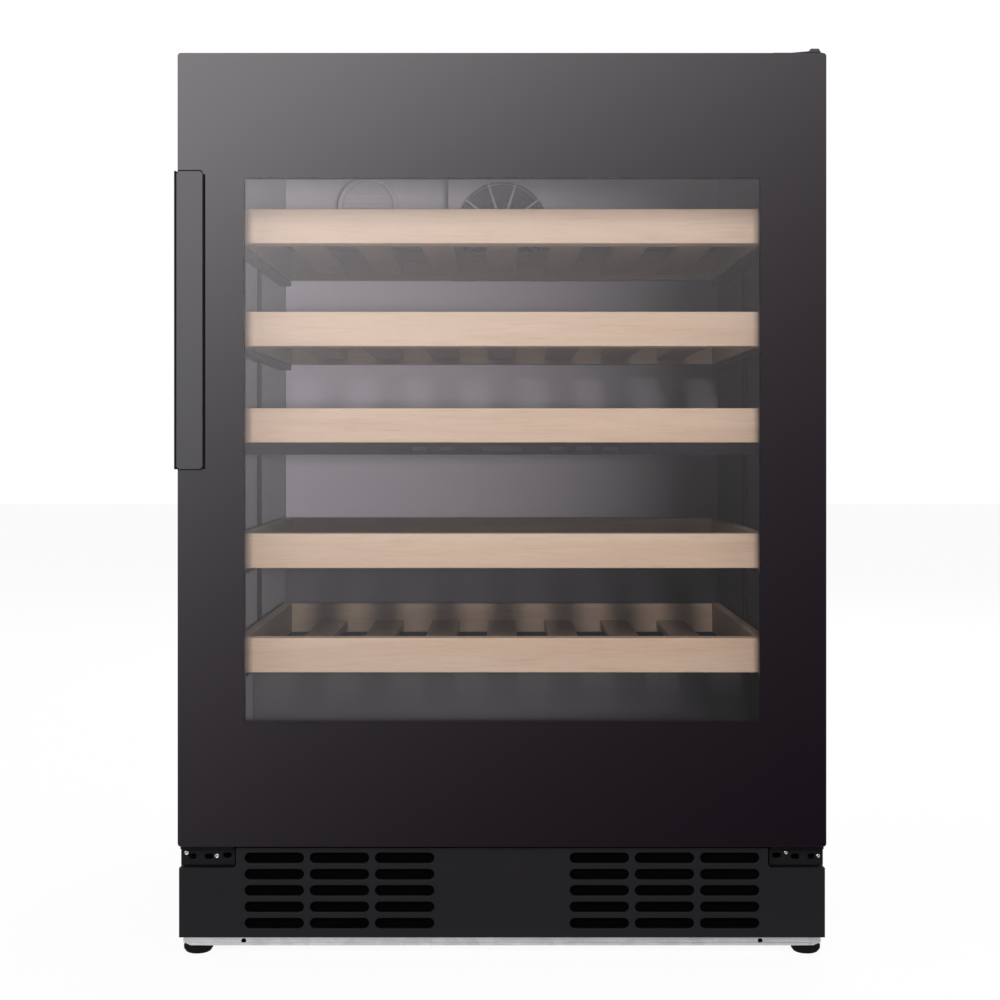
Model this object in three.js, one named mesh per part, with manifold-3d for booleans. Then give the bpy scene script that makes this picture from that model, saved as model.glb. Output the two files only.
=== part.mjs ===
// An under-counter wine cooler with a glass door, five sliding wooden shelves and two zones.
// Millimetres, +Z up. The door faces -Y and the origin is under the middle of the whole object.
import * as THREE from "three";
import { mergeVertices } from "three/addons/utils/BufferGeometryUtils.js";
import Module from "manifold-3d";

const wasm = await Module();
wasm.setup();

// ---------------------------------------------------------------- driving dimensions

const WIDTH = 595;
const DEPTH = 573; // from the door's glass to the back panel
const HANDLE_PROUD = 20;
const GAP = 0.3; // between pieces that touch
const STEEL = 1.2;

const HALF = WIDTH / 2;
const FRONT = HANDLE_PROUD - (DEPTH + HANDLE_PROUD) / 2; // y of the door's glass

// Heights
const FOOT_TOP = 7.2;
const LIP_BOTTOM = 7.8;
const BASE_TOP = 17.2;
const GRILLE_TOP = 100.5;
const DOOR_BOTTOM = 102.5;
const DOOR_TOP = 830.5;
const CABINET_TOP = 828;

// Depths behind the door's glass
const GRILLE_FRONT = 6;
const LIP_FRONT = 15;
const FRAME_BACK = 42;
const FLANGE_FRONT = 52;
const SHELF_FRONT = 62;
const SHELF_BACK = 430;
const DUCT_COVER = 480;
const LINER_BACK = 508;
const BACK_PANEL = 571;

// The cold space
const ROOM_HALF = 259;
const ROOM_FLOOR = 150;
const ROOM_CEILING = 798;
const HUMP_TOP = 236; // the step that makes room for the compressor
const HUMP_FRONT = 210;
const LINER_WALL = 2;
const BAY_CEILING = 214;

// The window in the door
const WINDOW_HALF = 236.7;
const WINDOW_BOTTOM = 217;
const WINDOW_TOP = 716;

// Shelves: the top of each wooden front
const SHELF_TOPS = [696, 598, 506, 386.5, 287];
const TRAY_HALF = 254;
const FRONT_HALF = 248; // narrower than the tray, to pass the seal of the half-open door
const SHELF_HEIGHT = 33;
const FRONT_BOARD = 18;
const SIDE_BOARD = 10;
const SLATS = 7;
const SLAT_PITCH = 65;
const SLAT_WIDTH = 32;
const SLAT_TOP = 19; // below the top of the front board
const SLAT_THICK = 8;
const LEDGE_EDGE = 246; // from the middle to the ledges under the trays
const LEDGE_THICK = 6;

// The divider between the zones, which carries the controls
const DIVIDER_BOTTOM = 461.8;
const DIVIDER_TOP = 472.3;
const LIGHT_BAR_HALF = 200;
const LOWER_LIGHT_BAR = [92, 104];

// Hinge line of the door
const HINGE_X = 288;
const HINGE_DEPTH = 21;
const PIN_RADIUS = 4;
const PIN_HOLE = 4.5;

// Fans
const FAN_X = 0;
const FAN_Z = 731;
const FAN_COVER = 128;
const FAN_RADIUS = 54;
const COOLING_FAN_X = -60;
const COOLING_FAN_Z = 105;
const COOLING_FAN_DEPTH = 330;

// ---------------------------------------------------------------- finishes

function finish(color, roughness, metalness = 0) {
  return new THREE.MeshStandardMaterial({ color, roughness, metalness });
}

const blackGlass = finish(0x2a272b, 0.08);
const clearGlass = finish(0x9fa6a8, 0.05);
const blackPlastic = finish(0x262428, 0.45);
const glossyBlack = finish(0x141315, 0.15);
const greyPlastic = finish(0x77777a, 0.5);
const rubber = finish(0x1b1a1c, 0.7);
const beech = finish(0xc2a58f, 0.55);
const blackSteel = finish(0x242326, 0.4, 0.3);
const zincSteel = finish(0xa8a9ab, 0.4, 0.9);
const aluminium = finish(0xb8babc, 0.35, 0.9);
const foam = finish(0xd9cfa6, 0.9);
const lightBar = finish(0xe8eef2, 0.3);
const circuit = finish(0x1f5a36, 0.5);

// ---------------------------------------------------------------- shapes

// A closed geometry as a solid that can be cut and joined.
function solid(geometry) {
  const bare = geometry.clone();
  bare.deleteAttribute("normal");
  bare.deleteAttribute("uv");
  const merged = mergeVertices(bare, 1e-4);
  return new wasm.Manifold(
    new wasm.Mesh({
      numProp: 3,
      vertProperties: merged.attributes.position.array,
      triVerts: new Uint32Array(merged.index.array),
    }),
  );
}

function geometryOf(made) {
  const mesh = made.getMesh();
  const geometry = new THREE.BufferGeometry();
  geometry.setAttribute("position", new THREE.BufferAttribute(mesh.vertProperties, 3));
  geometry.setIndex(new THREE.BufferAttribute(mesh.triVerts, 1));
  geometry.computeVertexNormals();
  return geometry;
}

function joined(geometries) {
  return geometries.map(solid).reduce((a, b) => a.add(b));
}

function join(...geometries) {
  return geometryOf(joined(geometries));
}

// The first geometry with all of the others taken out of it.
function cut(geometry, ...tools) {
  return geometryOf(solid(geometry).subtract(joined(tools)));
}

// A block from its ranges in x, in depth behind the door's glass, and in height.
function block([x0, x1], [d0, d1], [z0, z1]) {
  const geometry = new THREE.BoxGeometry(x1 - x0, d1 - d0, z1 - z0);
  return geometry.translate((x0 + x1) / 2, FRONT + (d0 + d1) / 2, (z0 + z1) / 2);
}

// A block that is centred on x = 0.
function wide(half, depths, heights) {
  return block([-half, half], depths, heights);
}

function rod(x, depth, radius, [z0, z1], sides = 24) {
  const geometry = new THREE.CylinderGeometry(radius, radius, z1 - z0, sides);
  return geometry.rotateX(Math.PI / 2).translate(x, FRONT + depth, (z0 + z1) / 2);
}

// A cylinder whose axis runs from front to back.
function disc(x, z, radius, [d0, d1], sides = 32) {
  const geometry = new THREE.CylinderGeometry(radius, radius, d1 - d0, sides);
  return geometry.translate(x, FRONT + (d0 + d1) / 2, z);
}

// An outline in x and z, carried from front to back.
function slab(outline, [d0, d1], curveSegments = 8) {
  const depth = d1 - d0;
  const geometry = new THREE.ExtrudeGeometry(outline, { depth, curveSegments, bevelEnabled: false });
  return geometry.rotateX(Math.PI / 2).translate(0, FRONT + d1, 0);
}

function polygon(points) {
  return new THREE.Shape(points.map(([x, z]) => new THREE.Vector2(x, z)));
}

// A slot with round ends, as an outline in x and z.
function roundSlot(x, z, length, height) {
  const radius = height / 2;
  const reach = length / 2 - radius;
  const shape = new THREE.Shape();
  shape.absarc(x + reach, z, radius, -Math.PI / 2, Math.PI / 2, false);
  shape.absarc(x - reach, z, radius, Math.PI / 2, (3 * Math.PI) / 2, false);
  return shape;
}

// A rectangular frame: the outer block without the inner one.
function ring([half, bottom, top], [innerHalf, innerBottom, innerTop], [d0, d1]) {
  return cut(
    wide(half, [d0, d1], [bottom, top]),
    wide(innerHalf, [d0 - 1, d1 + 1], [innerBottom, innerTop]),
  );
}

const cooler = new THREE.Group();

function add(name, geometry, material, group = cooler) {
  const mesh = new THREE.Mesh(geometry, material);
  mesh.name = name;
  group.add(mesh);
}

// ---------------------------------------------------------------- cabinet shells

// Sides and top of painted steel, with the flange round the opening that the seal closes on.
function cabinetWrap() {
  const side = [BASE_TOP + GAP, CABINET_TOP];
  const outer = wide(HALF - 0.5, [FLANGE_FRONT, BACK_PANEL - GAP], side);
  const inner = wide(HALF - 0.5 - STEEL, [FLANGE_FRONT + STEEL, DEPTH], [0, CABINET_TOP - STEEL]);
  const opening = wide(
    ROOM_HALF + LINER_WALL + 0.5,
    [0, FLANGE_FRONT + STEEL + 1],
    [ROOM_FLOOR - LINER_WALL - 0.5, ROOM_CEILING + LINER_WALL + 0.5],
  );
  const airIntake = wide(HALF - 0.5 - STEEL, [0, FLANGE_FRONT + STEEL + 1], [0, 80]);
  return cut(outer, inner, opening, airIntake);
}

// The cold space as a solid, grown by a margin on every side but the front.
function room(margin, front) {
  return [
    wide(ROOM_HALF + margin, [front, LINER_BACK + margin], [HUMP_TOP - margin, ROOM_CEILING + margin]),
    wide(ROOM_HALF + margin, [front, HUMP_FRONT + margin], [ROOM_FLOOR - margin, HUMP_TOP + 1]),
  ];
}

function innerLiner() {
  const outside = joined(room(LINER_WALL, FLANGE_FRONT + 0.5));
  return geometryOf(outside.subtract(joined(room(0, 0))));
}

// Foam fills the space between the liner and the steel, and leaves the compressor bay free.
function insulationFoam() {
  const half = HALF - 0.5 - STEEL - GAP;
  const front = FLANGE_FRONT + STEEL + GAP;
  const bayFront = HUMP_FRONT + 22;
  const body = joined([
    wide(half, [front, BACK_PANEL - GAP], [BAY_CEILING, CABINET_TOP - STEEL - GAP]),
    wide(half, [front, bayFront], [112, BAY_CEILING + 1]),
  ]);
  return geometryOf(body.subtract(joined(room(LINER_WALL + GAP, 0))));
}

function cabinet() {
  add("cabinet_wrap", cabinetWrap(), blackSteel);
  add("inner_liner", innerLiner(), blackPlastic);
  add("insulation_foam", insulationFoam(), foam);
  add("back_panel", wide(HALF - 1, [BACK_PANEL, DEPTH], [212.5, CABINET_TOP - 1]), zincSteel);
  add("rear_cover", rearCover(), zincSteel);
}

// The lower back cover, with vents, closes the compressor bay behind.
function rearCover() {
  const slots = [];
  for (let column = -3; column <= 3; column += 1)
    for (let row = 0; row < 2; row += 1)
      slots.push(slab(roundSlot(58 * column + 30, 130 + 24 * row, 42, 8), [BACK_PANEL - 1, DEPTH + 1], 3));
  const inlet = block([-242, -206], [BACK_PANEL - 1, DEPTH + 1], [46, 74]);
  return cut(wide(HALF - 1, [BACK_PANEL, DEPTH], [BASE_TOP + GAP, 211.5]), inlet, ...slots);
}

// ---------------------------------------------------------------- cold space

// The back wall that is seen from the front: a sheet with a hole for the fan and a row of vents.
function airDuctCover() {
  const vents = [];
  const ventHeight = 338; // behind the fourth shelf
  for (let column = -3; column <= 3; column += 1)
    vents.push(slab(roundSlot(62 * column, ventHeight, 40, 6), [DUCT_COVER - 1, DUCT_COVER + 4], 3));
  return cut(
    wide(ROOM_HALF - 0.5, [DUCT_COVER, DUCT_COVER + 3], [HUMP_TOP + 0.5, ROOM_CEILING - 0.5]),
    disc(FAN_X, FAN_Z, 52, [DUCT_COVER - 1, DUCT_COVER + 4]),
    ...vents,
  );
}

function ribs(count, inner, outer, width, depths) {
  const made = [];
  for (let i = 0; i < count; i += 1) {
    const rib = new THREE.BoxGeometry(outer - inner, depths[1] - depths[0], width);
    rib.translate((inner + outer) / 2, FRONT + (depths[0] + depths[1]) / 2, 0);
    made.push(rib.rotateY((2 * Math.PI * i) / count).translate(FAN_X, 0, FAN_Z));
  }
  return made;
}

// A flat ring round the fan's axis.
function guardRing(radius, width, [d0, d1]) {
  const profile = [
    new THREE.Vector2(radius - width / 2, d0),
    new THREE.Vector2(radius + width / 2, d0),
    new THREE.Vector2(radius + width / 2, d1),
    new THREE.Vector2(radius - width / 2, d1),
    new THREE.Vector2(radius - width / 2, d0),
  ];
  return new THREE.LatheGeometry(profile, 24).translate(FAN_X, FRONT, FAN_Z);
}

// A square box, open behind, whose front is a round guard of rings and ribs.
function fanCover() {
  const depths = [466, DUCT_COVER - GAP];
  const guard = [466, 469];
  const half = FAN_COVER / 2;
  const box = solid(block([-half, half], depths, [FAN_Z - half, FAN_Z + half]));
  const pocket = solid(disc(FAN_X, FAN_Z, FAN_RADIUS + 3, [guard[1], DUCT_COVER]));
  const bars = joined([
    guardRing(18, 2, guard),
    guardRing(30, 2, guard),
    guardRing(42, 2, guard),
    disc(FAN_X, FAN_Z, 9, guard, 20),
    ...ribs(12, 5, FAN_RADIUS + 1, 2, guard),
  ]);
  const openings = solid(disc(FAN_X, FAN_Z, FAN_RADIUS, [guard[0] - 1, guard[1] + 1])).subtract(bars);
  return geometryOf(box.subtract(pocket).subtract(openings));
}

// A bladed rotor about the Y axis: a hub, tilted blades and a shaft to the rear.
function fanRotor(x, z, { hub, tip, blades, depths, shaft }) {
  const chord = (depths[1] - depths[0]) * 1.3;
  const pieces = [disc(0, 0, hub, depths, 24), disc(0, 0, 2.5, shaft, 12)];
  for (let i = 0; i < blades; i += 1) {
    const blade = new THREE.BoxGeometry(tip - hub + 4, 1.6, chord);
    blade.rotateX(THREE.MathUtils.degToRad(48)).translate((tip + hub - 4) / 2, 0, 0);
    blade.translate(0, FRONT + (depths[0] + depths[1]) / 2, 0);
    pieces.push(blade.rotateY((2 * Math.PI * i) / blades));
  }
  return join(...pieces).translate(x, 0, z);
}

// The fan's motor, held on the back of the sheet by three arms.
function fanMotor() {
  const arms = [];
  for (let i = 0; i < 3; i += 1) {
    const arm = new THREE.BoxGeometry(58, 2, 8);
    arm.translate(29, FRONT + DUCT_COVER + 4.4, 0);
    arms.push(arm.rotateY((2 * Math.PI * i) / 3 + Math.PI / 2).translate(FAN_X, 0, FAN_Z));
  }
  const body = join(disc(FAN_X, FAN_Z, 22, [483.4, 505], 24), ...arms);
  return cut(body, disc(FAN_X, FAN_Z, 3.4, [480, 494], 16));
}

// A round cap with louvres that twists off to change the charcoal filter behind it.
function filterCap() {
  const [x, z, radius] = [-160, 755, 36];
  const louvres = [];
  for (let i = -4; i <= 4; i += 1) {
    const half = Math.sqrt(30 ** 2 - (6 * i) ** 2);
    louvres.push(block([x - half, x + half], [470, 477], [z + 6 * i - 1.4, z + 6 * i + 1.4]));
  }
  return cut(disc(x, z, radius, [472.5, DUCT_COVER - GAP]), ...louvres);
}

function coldSpace() {
  add("air_duct_cover", airDuctCover(), blackPlastic);
  add("fan_cover", fanCover(), blackPlastic);
  add("fan_motor", fanMotor(), greyPlastic);
  const blades = { hub: 15, tip: 48, blades: 7, depths: [471, 479], shaft: [478, 492] };
  add("fan_rotor", fanRotor(FAN_X, FAN_Z, blades), blackPlastic);
  add("filter_cap", filterCap(), blackPlastic);
  add("evaporator_plate", wide(200, [487, 499], [290, 640]), aluminium);
  add("upper_light_bar", wide(LIGHT_BAR_HALF, [66, 78], [792, ROOM_CEILING - 0.5]), lightBar);
  const recessed = [DIVIDER_BOTTOM, DIVIDER_BOTTOM + 4];
  add("lower_light_bar", wide(LIGHT_BAR_HALF, LOWER_LIGHT_BAR, recessed), lightBar);
}

// ---------------------------------------------------------------- shelves

// Ledges on one side wall: an upright strip with a ledge under each shelf of a zone.
function shelfLedges(side, tops, heights) {
  const wall = ROOM_HALF - GAP;
  const span = (a, b) => (side > 0 ? [a, b] : [-b, -a]);
  const strip = block(span(wall - 2, wall), [240, 262], heights);
  const ledges = tops.map((top) => {
    const height = top - SHELF_HEIGHT - 0.7;
    return block(span(LEDGE_EDGE, wall), [84, SHELF_BACK], [height - LEDGE_THICK, height]);
  });
  return join(strip, ...ledges);
}

// The open tray behind the front board: two sides, a back, a front rail and slats from front to back.
function shelfTray(top) {
  const front = SHELF_FRONT + FRONT_BOARD + GAP;
  const heights = [top - SHELF_HEIGHT, top];
  const inner = TRAY_HALF - SIDE_BOARD;
  const pieces = [
    block([-TRAY_HALF, -inner], [front, SHELF_BACK], heights),
    block([inner, TRAY_HALF], [front, SHELF_BACK], heights),
    wide(inner + 1, [SHELF_BACK - SIDE_BOARD, SHELF_BACK], heights),
    wide(inner + 1, [front, front + 12], [top - SHELF_HEIGHT, top - SLAT_TOP]),
  ];
  for (let i = 0; i < SLATS; i += 1) {
    const x = SLAT_PITCH * (i - (SLATS - 1) / 2);
    const slat = [top - SLAT_TOP - SLAT_THICK, top - SLAT_TOP];
    pieces.push(block([x - SLAT_WIDTH / 2, x + SLAT_WIDTH / 2], [front + 1, SHELF_BACK - 1], slat));
  }
  return join(...pieces);
}

function shelves() {
  SHELF_TOPS.forEach((top, index) => {
    const depths = [SHELF_FRONT, SHELF_FRONT + FRONT_BOARD];
    const board = wide(FRONT_HALF, depths, [top - SHELF_HEIGHT, top]);
    add(`shelf_${index + 1}_front`, board, beech);
    add(`shelf_${index + 1}_tray`, shelfTray(top), beech);
  });
  // The third shelf rests on the divider and needs no ledges.
  const zones = [
    ["upper", SHELF_TOPS.slice(0, 2), [DIVIDER_TOP + 1, 680]],
    ["lower", SHELF_TOPS.slice(3), [244, DIVIDER_BOTTOM - 1]],
  ];
  [["left", -1], ["right", 1]].forEach(([name, side]) =>
    zones.forEach(([zone, tops, heights]) =>
      add(`${name}_${zone}_ledges`, shelfLedges(side, tops, heights), blackPlastic),
    ),
  );
}

// ---------------------------------------------------------------- divider and controls

const BUTTONS = [["power", -78], ["light", -52], ["zone", 52], ["cooler", 78], ["warmer", 104]];
const BUTTON_WIDTH = 14;
const BUTTON_HEIGHT = 5;
const STRIP_FRONT = 60;

function controlStrip() {
  const middle = (DIVIDER_BOTTOM + DIVIDER_TOP) / 2;
  const pocket = wide(125, [64, 90], [DIVIDER_BOTTOM + 1.8, DIVIDER_TOP - 1.8]);
  const recess = wide(20, [STRIP_FRONT - 1, 61.5], [middle - 3, middle + 3]);
  const holes = BUTTONS.map(([, x]) => {
    const half = BUTTON_WIDTH / 2 + 0.4;
    const rise = BUTTON_HEIGHT / 2 + 0.4;
    return block([x - half, x + half], [STRIP_FRONT - 1, 65], [middle - rise, middle + rise]);
  });
  const strip = wide(ROOM_HALF - 0.5, [STRIP_FRONT, 84.5], [DIVIDER_BOTTOM, DIVIDER_TOP]);
  return cut(strip, pocket, recess, ...holes);
}

function controls() {
  const middle = (DIVIDER_BOTTOM + DIVIDER_TOP) / 2;
  const divider = wide(ROOM_HALF - 0.5, [85, DUCT_COVER - 0.5], [DIVIDER_BOTTOM, DIVIDER_TOP]);
  const [lightFront, lightBack] = LOWER_LIGHT_BAR;
  const lightRecess = wide(
    LIGHT_BAR_HALF + GAP,
    [lightFront - GAP, lightBack + GAP],
    [DIVIDER_BOTTOM - 1, DIVIDER_BOTTOM + 4 + GAP],
  );
  add("zone_divider", cut(divider, lightRecess), blackPlastic);
  add("control_strip", controlStrip(), glossyBlack);
  add("display_window", wide(19.6, [STRIP_FRONT, 61.2], [middle - 2.6, middle + 2.6]), glossyBlack);
  add("control_board", wide(118, [68, 83], [middle - 0.8, middle + 0.8]), circuit);
  BUTTONS.forEach(([name, x]) => {
    const span = [x - BUTTON_WIDTH / 2, x + BUTTON_WIDTH / 2];
    const rise = [middle - BUTTON_HEIGHT / 2, middle + BUTTON_HEIGHT / 2];
    add(`${name}_button`, block(span, [STRIP_FRONT - 0.9, 65], rise), glossyBlack);
  });
}

// ---------------------------------------------------------------- door

function doorFrame() {
  const outer = wide(HALF - 1, [4.3, FRAME_BACK], [DOOR_BOTTOM + 0.7, DOOR_TOP - 0.7]);
  const rebate = wide(250.5, [3, 20.5], [WINDOW_BOTTOM - 14.5, WINDOW_TOP + 14.5]);
  const opening = wide(241, [3, 50], [WINDOW_BOTTOM - 4.5, WINDOW_TOP + 4.5]);
  const lowerPin = rod(HINGE_X, HINGE_DEPTH, PIN_HOLE, [DOOR_BOTTOM - 1, 115]);
  const upperPin = rod(HINGE_X, HINGE_DEPTH, PIN_HOLE, [817, DOOR_TOP + 1]);
  return cut(outer, rebate, opening, lowerPin, upperPin);
}

// A bar over the door's left edge: a web beside the glass, a face plate in front, open to the right.
function handle() {
  const [z0, z1] = [448, 720];
  const web = block([-297, -293.5], [-HANDLE_PROUD, -GAP], [z0, z1]);
  const face = slab(
    polygon([
      [-297, z0 + 3],
      [-294, z0],
      [-274, z0],
      [-271, z0 + 3],
      [-271, z1 - 3],
      [-274, z1],
      [-294, z1],
      [-297, z1 - 3],
    ]),
    [-HANDLE_PROUD, -HANDLE_PROUD + 4],
  );
  return join(web, face);
}

function door() {
  const group = new THREE.Group();
  cooler.add(group);
  add("door_outer_glass", wide(HALF, [0, 4], [DOOR_BOTTOM, DOOR_TOP]), blackGlass, group);
  add("door_frame", doorFrame(), blackPlastic, group);
  const spacerOuter = [250, WINDOW_BOTTOM - 14, WINDOW_TOP + 14];
  const spacerInner = [WINDOW_HALF + 3.3, WINDOW_BOTTOM - 4, WINDOW_TOP + 4];
  add("glazing_spacer", ring(spacerOuter, spacerInner, [4.3, 15.7]), glossyBlack, group);
  const pane = wide(250, [16, 20.2], [WINDOW_BOTTOM - 14, WINDOW_TOP + 14]);
  add("door_inner_glass", pane, clearGlass, group);
  const seal = ring([275, 128, 814], [264, 139, 803], [FRAME_BACK + GAP, FLANGE_FRONT - GAP]);
  add("door_gasket", seal, rubber, group);
  add("handle", handle(), blackPlastic, group);
}

// ---------------------------------------------------------------- hinges

// A folded bracket under the door: a top arm, a front plate with slots, a side and a rear plate.
function lowerBracket(side, hasPin) {
  const span = (a, b) => (side > 0 ? [a, b] : [-b, -a]);
  const back = FLANGE_FRONT - GAP;
  const [inner, outer] = [247, 296.8];
  const upright = [82.5, 99];
  const pieces = [
    block(span(inner, outer), [10, back], [98, 101]),
    block(span(inner, outer), [14, 17], upright),
    block(span(outer - 2, outer), [14, back], upright),
    block(span(inner, outer), [back - 2.7, back], upright),
  ];
  if (hasPin) pieces.push(rod(HINGE_X, HINGE_DEPTH, PIN_RADIUS, [100, 112]));
  const through = [12, 19];
  const slots = [
    slab(roundSlot(side * 254, 91.5, 8, 5), through, 5),
    slab(roundSlot(side * 271, 90.5, 8, 5), through, 5),
    slab(roundSlot(side * 286, 90.5, 7, 5), through, 5),
  ];
  return cut(join(...pieces), ...slots);
}

function hinges() {
  add("lower_hinge_bracket", lowerBracket(1, true), blackSteel);
  add("spare_hinge_bracket", lowerBracket(-1, false), blackSteel);
  const plate = [DOOR_TOP + GAP, DOOR_TOP + 2.3];
  const upper = join(
    block([250, 296], [9, 120], plate),
    block([250, 296], [56, 120], [CABINET_TOP + GAP, plate[1]]),
    rod(HINGE_X, HINGE_DEPTH, PIN_RADIUS, [819.5, DOOR_TOP + 1]),
  );
  add("upper_hinge_plate", upper, blackSteel);
  const low = plate[1] + GAP;
  const high = low + 3.7;
  const outline = polygon([
    [268, low],
    [294.5, low],
    [292.5, high],
    [285, high],
    [283, low + 1.3],
  ]);
  add("upper_hinge_cap", slab(outline, [10, 46]), blackPlastic);
}

// ---------------------------------------------------------------- base

const SLOT_COLUMNS = [89.6, 149.6, 209.6];
const SLOT_ROWS = [90.8, 75.7, 60.8, 45.7, 30.7];

// The lower panel, with two groups of air slots and a notch at each top corner for a hinge bracket.
function frontGrille() {
  const heights = [BASE_TOP + GAP, GRILLE_TOP];
  const back = FLANGE_FRONT - 1;
  const panel = join(
    wide(HALF - 0.5, [GRILLE_FRONT, GRILLE_FRONT + 3], heights),
    block([-HALF + 0.5, -HALF + 3], [GRILLE_FRONT, back], heights),
    block([HALF - 3, HALF - 0.5], [GRILLE_FRONT, back], heights),
  );
  const tools = [];
  [-1, 1].forEach((side) => {
    SLOT_COLUMNS.forEach((x) =>
      SLOT_ROWS.forEach((z) => tools.push(slab(roundSlot(side * x, z, 54.5, 9.6), [0, 12], 4))),
    );
    tools.push(notch(side));
  });
  return cut(panel, ...tools);
}

// The notch's outline: open above and to the side, with its inner lower corner rounded.
function notch(side) {
  const [inner, bottom, radius] = [245, 81.6, 4];
  const shape = new THREE.Shape();
  shape.moveTo(side * (HALF + 2), bottom);
  shape.lineTo(side * (inner + radius), bottom);
  shape.quadraticCurveTo(side * inner, bottom, side * inner, bottom + radius);
  shape.lineTo(side * inner, GRILLE_TOP + 2);
  shape.lineTo(side * (HALF + 2), GRILLE_TOP + 2);
  return slab(shape, [0, FLANGE_FRONT + 5], 4);
}

const FOOT_X = 282.7;
const FOOT_RADIUS = 13.5;
const FEET = [
  ["front_left", -FOOT_X, 26],
  ["front_right", FOOT_X, 26],
  ["rear_left", -FOOT_X, 540],
  ["rear_right", FOOT_X, 540],
];

// A pan of galvanised steel with its front edge folded down and its ends cut at a slant.
function basePlate() {
  const floor = wide(295, [LIP_FRONT, 566], [BASE_TOP - 2.5, BASE_TOP]);
  const lip = polygon([
    [-295, BASE_TOP],
    [-295, LIP_BOTTOM + 3],
    [-288, LIP_BOTTOM],
    [288, LIP_BOTTOM],
    [295, LIP_BOTTOM + 3],
    [295, BASE_TOP],
  ]);
  const holes = FEET.map(([, x, d]) => rod(x, d, 5.8, [0, 30], 16));
  const screwHoles = [-239, 239].map((x) => disc(x, 12.2, 2.3, [LIP_FRONT - 5, LIP_FRONT + 5], 12));
  return cut(join(floor, slab(lip, [LIP_FRONT, LIP_FRONT + 2])), ...holes, ...screwHoles);
}

// A round pad on a threaded stem that screws up through the base.
function foot(x, depth) {
  const pad = new THREE.LatheGeometry(
    [
      new THREE.Vector2(0, 0),
      new THREE.Vector2(FOOT_RADIUS - 3, 0),
      new THREE.Vector2(FOOT_RADIUS, 3),
      new THREE.Vector2(FOOT_RADIUS, FOOT_TOP),
      new THREE.Vector2(5, FOOT_TOP),
      new THREE.Vector2(5, 34),
      new THREE.Vector2(0, 34),
    ],
    24,
  );
  return pad.rotateX(Math.PI / 2).translate(x, FRONT + depth, 0);
}

// Fins on three tubes.
function condenser() {
  const pieces = [0, 1, 2].map((i) => {
    const tube = new THREE.CylinderGeometry(4, 4, 200, 6).rotateZ(Math.PI / 2);
    return tube.translate(COOLING_FAN_X, FRONT + 290, 60 + 45 * i);
  });
  for (let i = 0; i < 10; i += 1) {
    const x = COOLING_FAN_X - 90 + 20 * i;
    pieces.push(block([x - 0.8, x + 0.8], [270, 308], [42, 168]));
  }
  return join(...pieces);
}

function coolingFanFrame() {
  const half = 60;
  const [x, z, d] = [COOLING_FAN_X, COOLING_FAN_Z, COOLING_FAN_DEPTH];
  const strut = block([x - 3, x + 3], [d + 21, d + 25], [z - half, z + half]);
  const housing = cut(
    block([x - half, x + half], [d, d + 25], [z - half, z + half]),
    disc(x, z, 56, [d - 1, d + 26]),
  );
  const held = join(housing, strut, disc(x, z, 20, [d + 17, d + 25], 20));
  return cut(held, disc(x, z, 3.4, [d + 10, d + 22], 12));
}

// A round-topped steel can on a foot plate.
function compressor() {
  const can = new THREE.LatheGeometry(
    [
      new THREE.Vector2(0, 30),
      new THREE.Vector2(60, 30),
      new THREE.Vector2(64, 40),
      new THREE.Vector2(64, 120),
      new THREE.Vector2(54, 144),
      new THREE.Vector2(30, 156),
      new THREE.Vector2(0, 158),
    ],
    24,
  );
  can.rotateX(Math.PI / 2).translate(150, FRONT + 470, 0);
  return join(can, block([70, 230], [415, 525], [26, 32]));
}

function dripTray() {
  const [x, depth, z] = [[90, 210], [410, 530], [176, 204]];
  const hollow = block([x[0] + 2, x[1] - 2], [depth[0] + 2, depth[1] - 2], [z[0] + 2, z[1] + 1]);
  return cut(block(x, depth, z), hollow);
}

function base() {
  add("front_grille", frontGrille(), blackPlastic);
  add("base_plate", basePlate(), zincSteel);
  FEET.forEach(([name, x, depth]) => add(`${name}_foot`, foot(x, depth), rubber));
  add("compressor", compressor(), blackSteel);
  add("condenser", condenser(), aluminium);
  add("cooling_fan_frame", coolingFanFrame(), blackPlastic);
  const depths = [COOLING_FAN_DEPTH + 3, COOLING_FAN_DEPTH + 15];
  const shaft = [COOLING_FAN_DEPTH + 14, COOLING_FAN_DEPTH + 21];
  const blades = { hub: 20, tip: 52, blades: 7, depths, shaft };
  add("cooling_fan_rotor", fanRotor(COOLING_FAN_X, COOLING_FAN_Z, blades), blackPlastic);
  add("drip_tray", dripTray(), greyPlastic);
  add("power_inlet", block([-241, -207], [545, DEPTH], [47, 73]), blackPlastic);
}

cabinet();
coldSpace();
shelves();
controls();
door();
hinges();
base();

export default cooler;
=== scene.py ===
# %% [markdown]
# # A wine cooler with a glass door
#
# The object is an under-counter wine cooler: a black printed glass door with a clear window, beech
# shelves behind it, and a slotted panel and a galvanised base below. Its sizes and joints come from
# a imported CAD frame. Here each visible surface gets its true shape and finish. The pieces could be
# modelled by hand in the viewport, but shapes worked out from formulas stay exact to a tenth of a
# millimetre and can be read and changed, so this lesson builds them with numpy.

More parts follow.
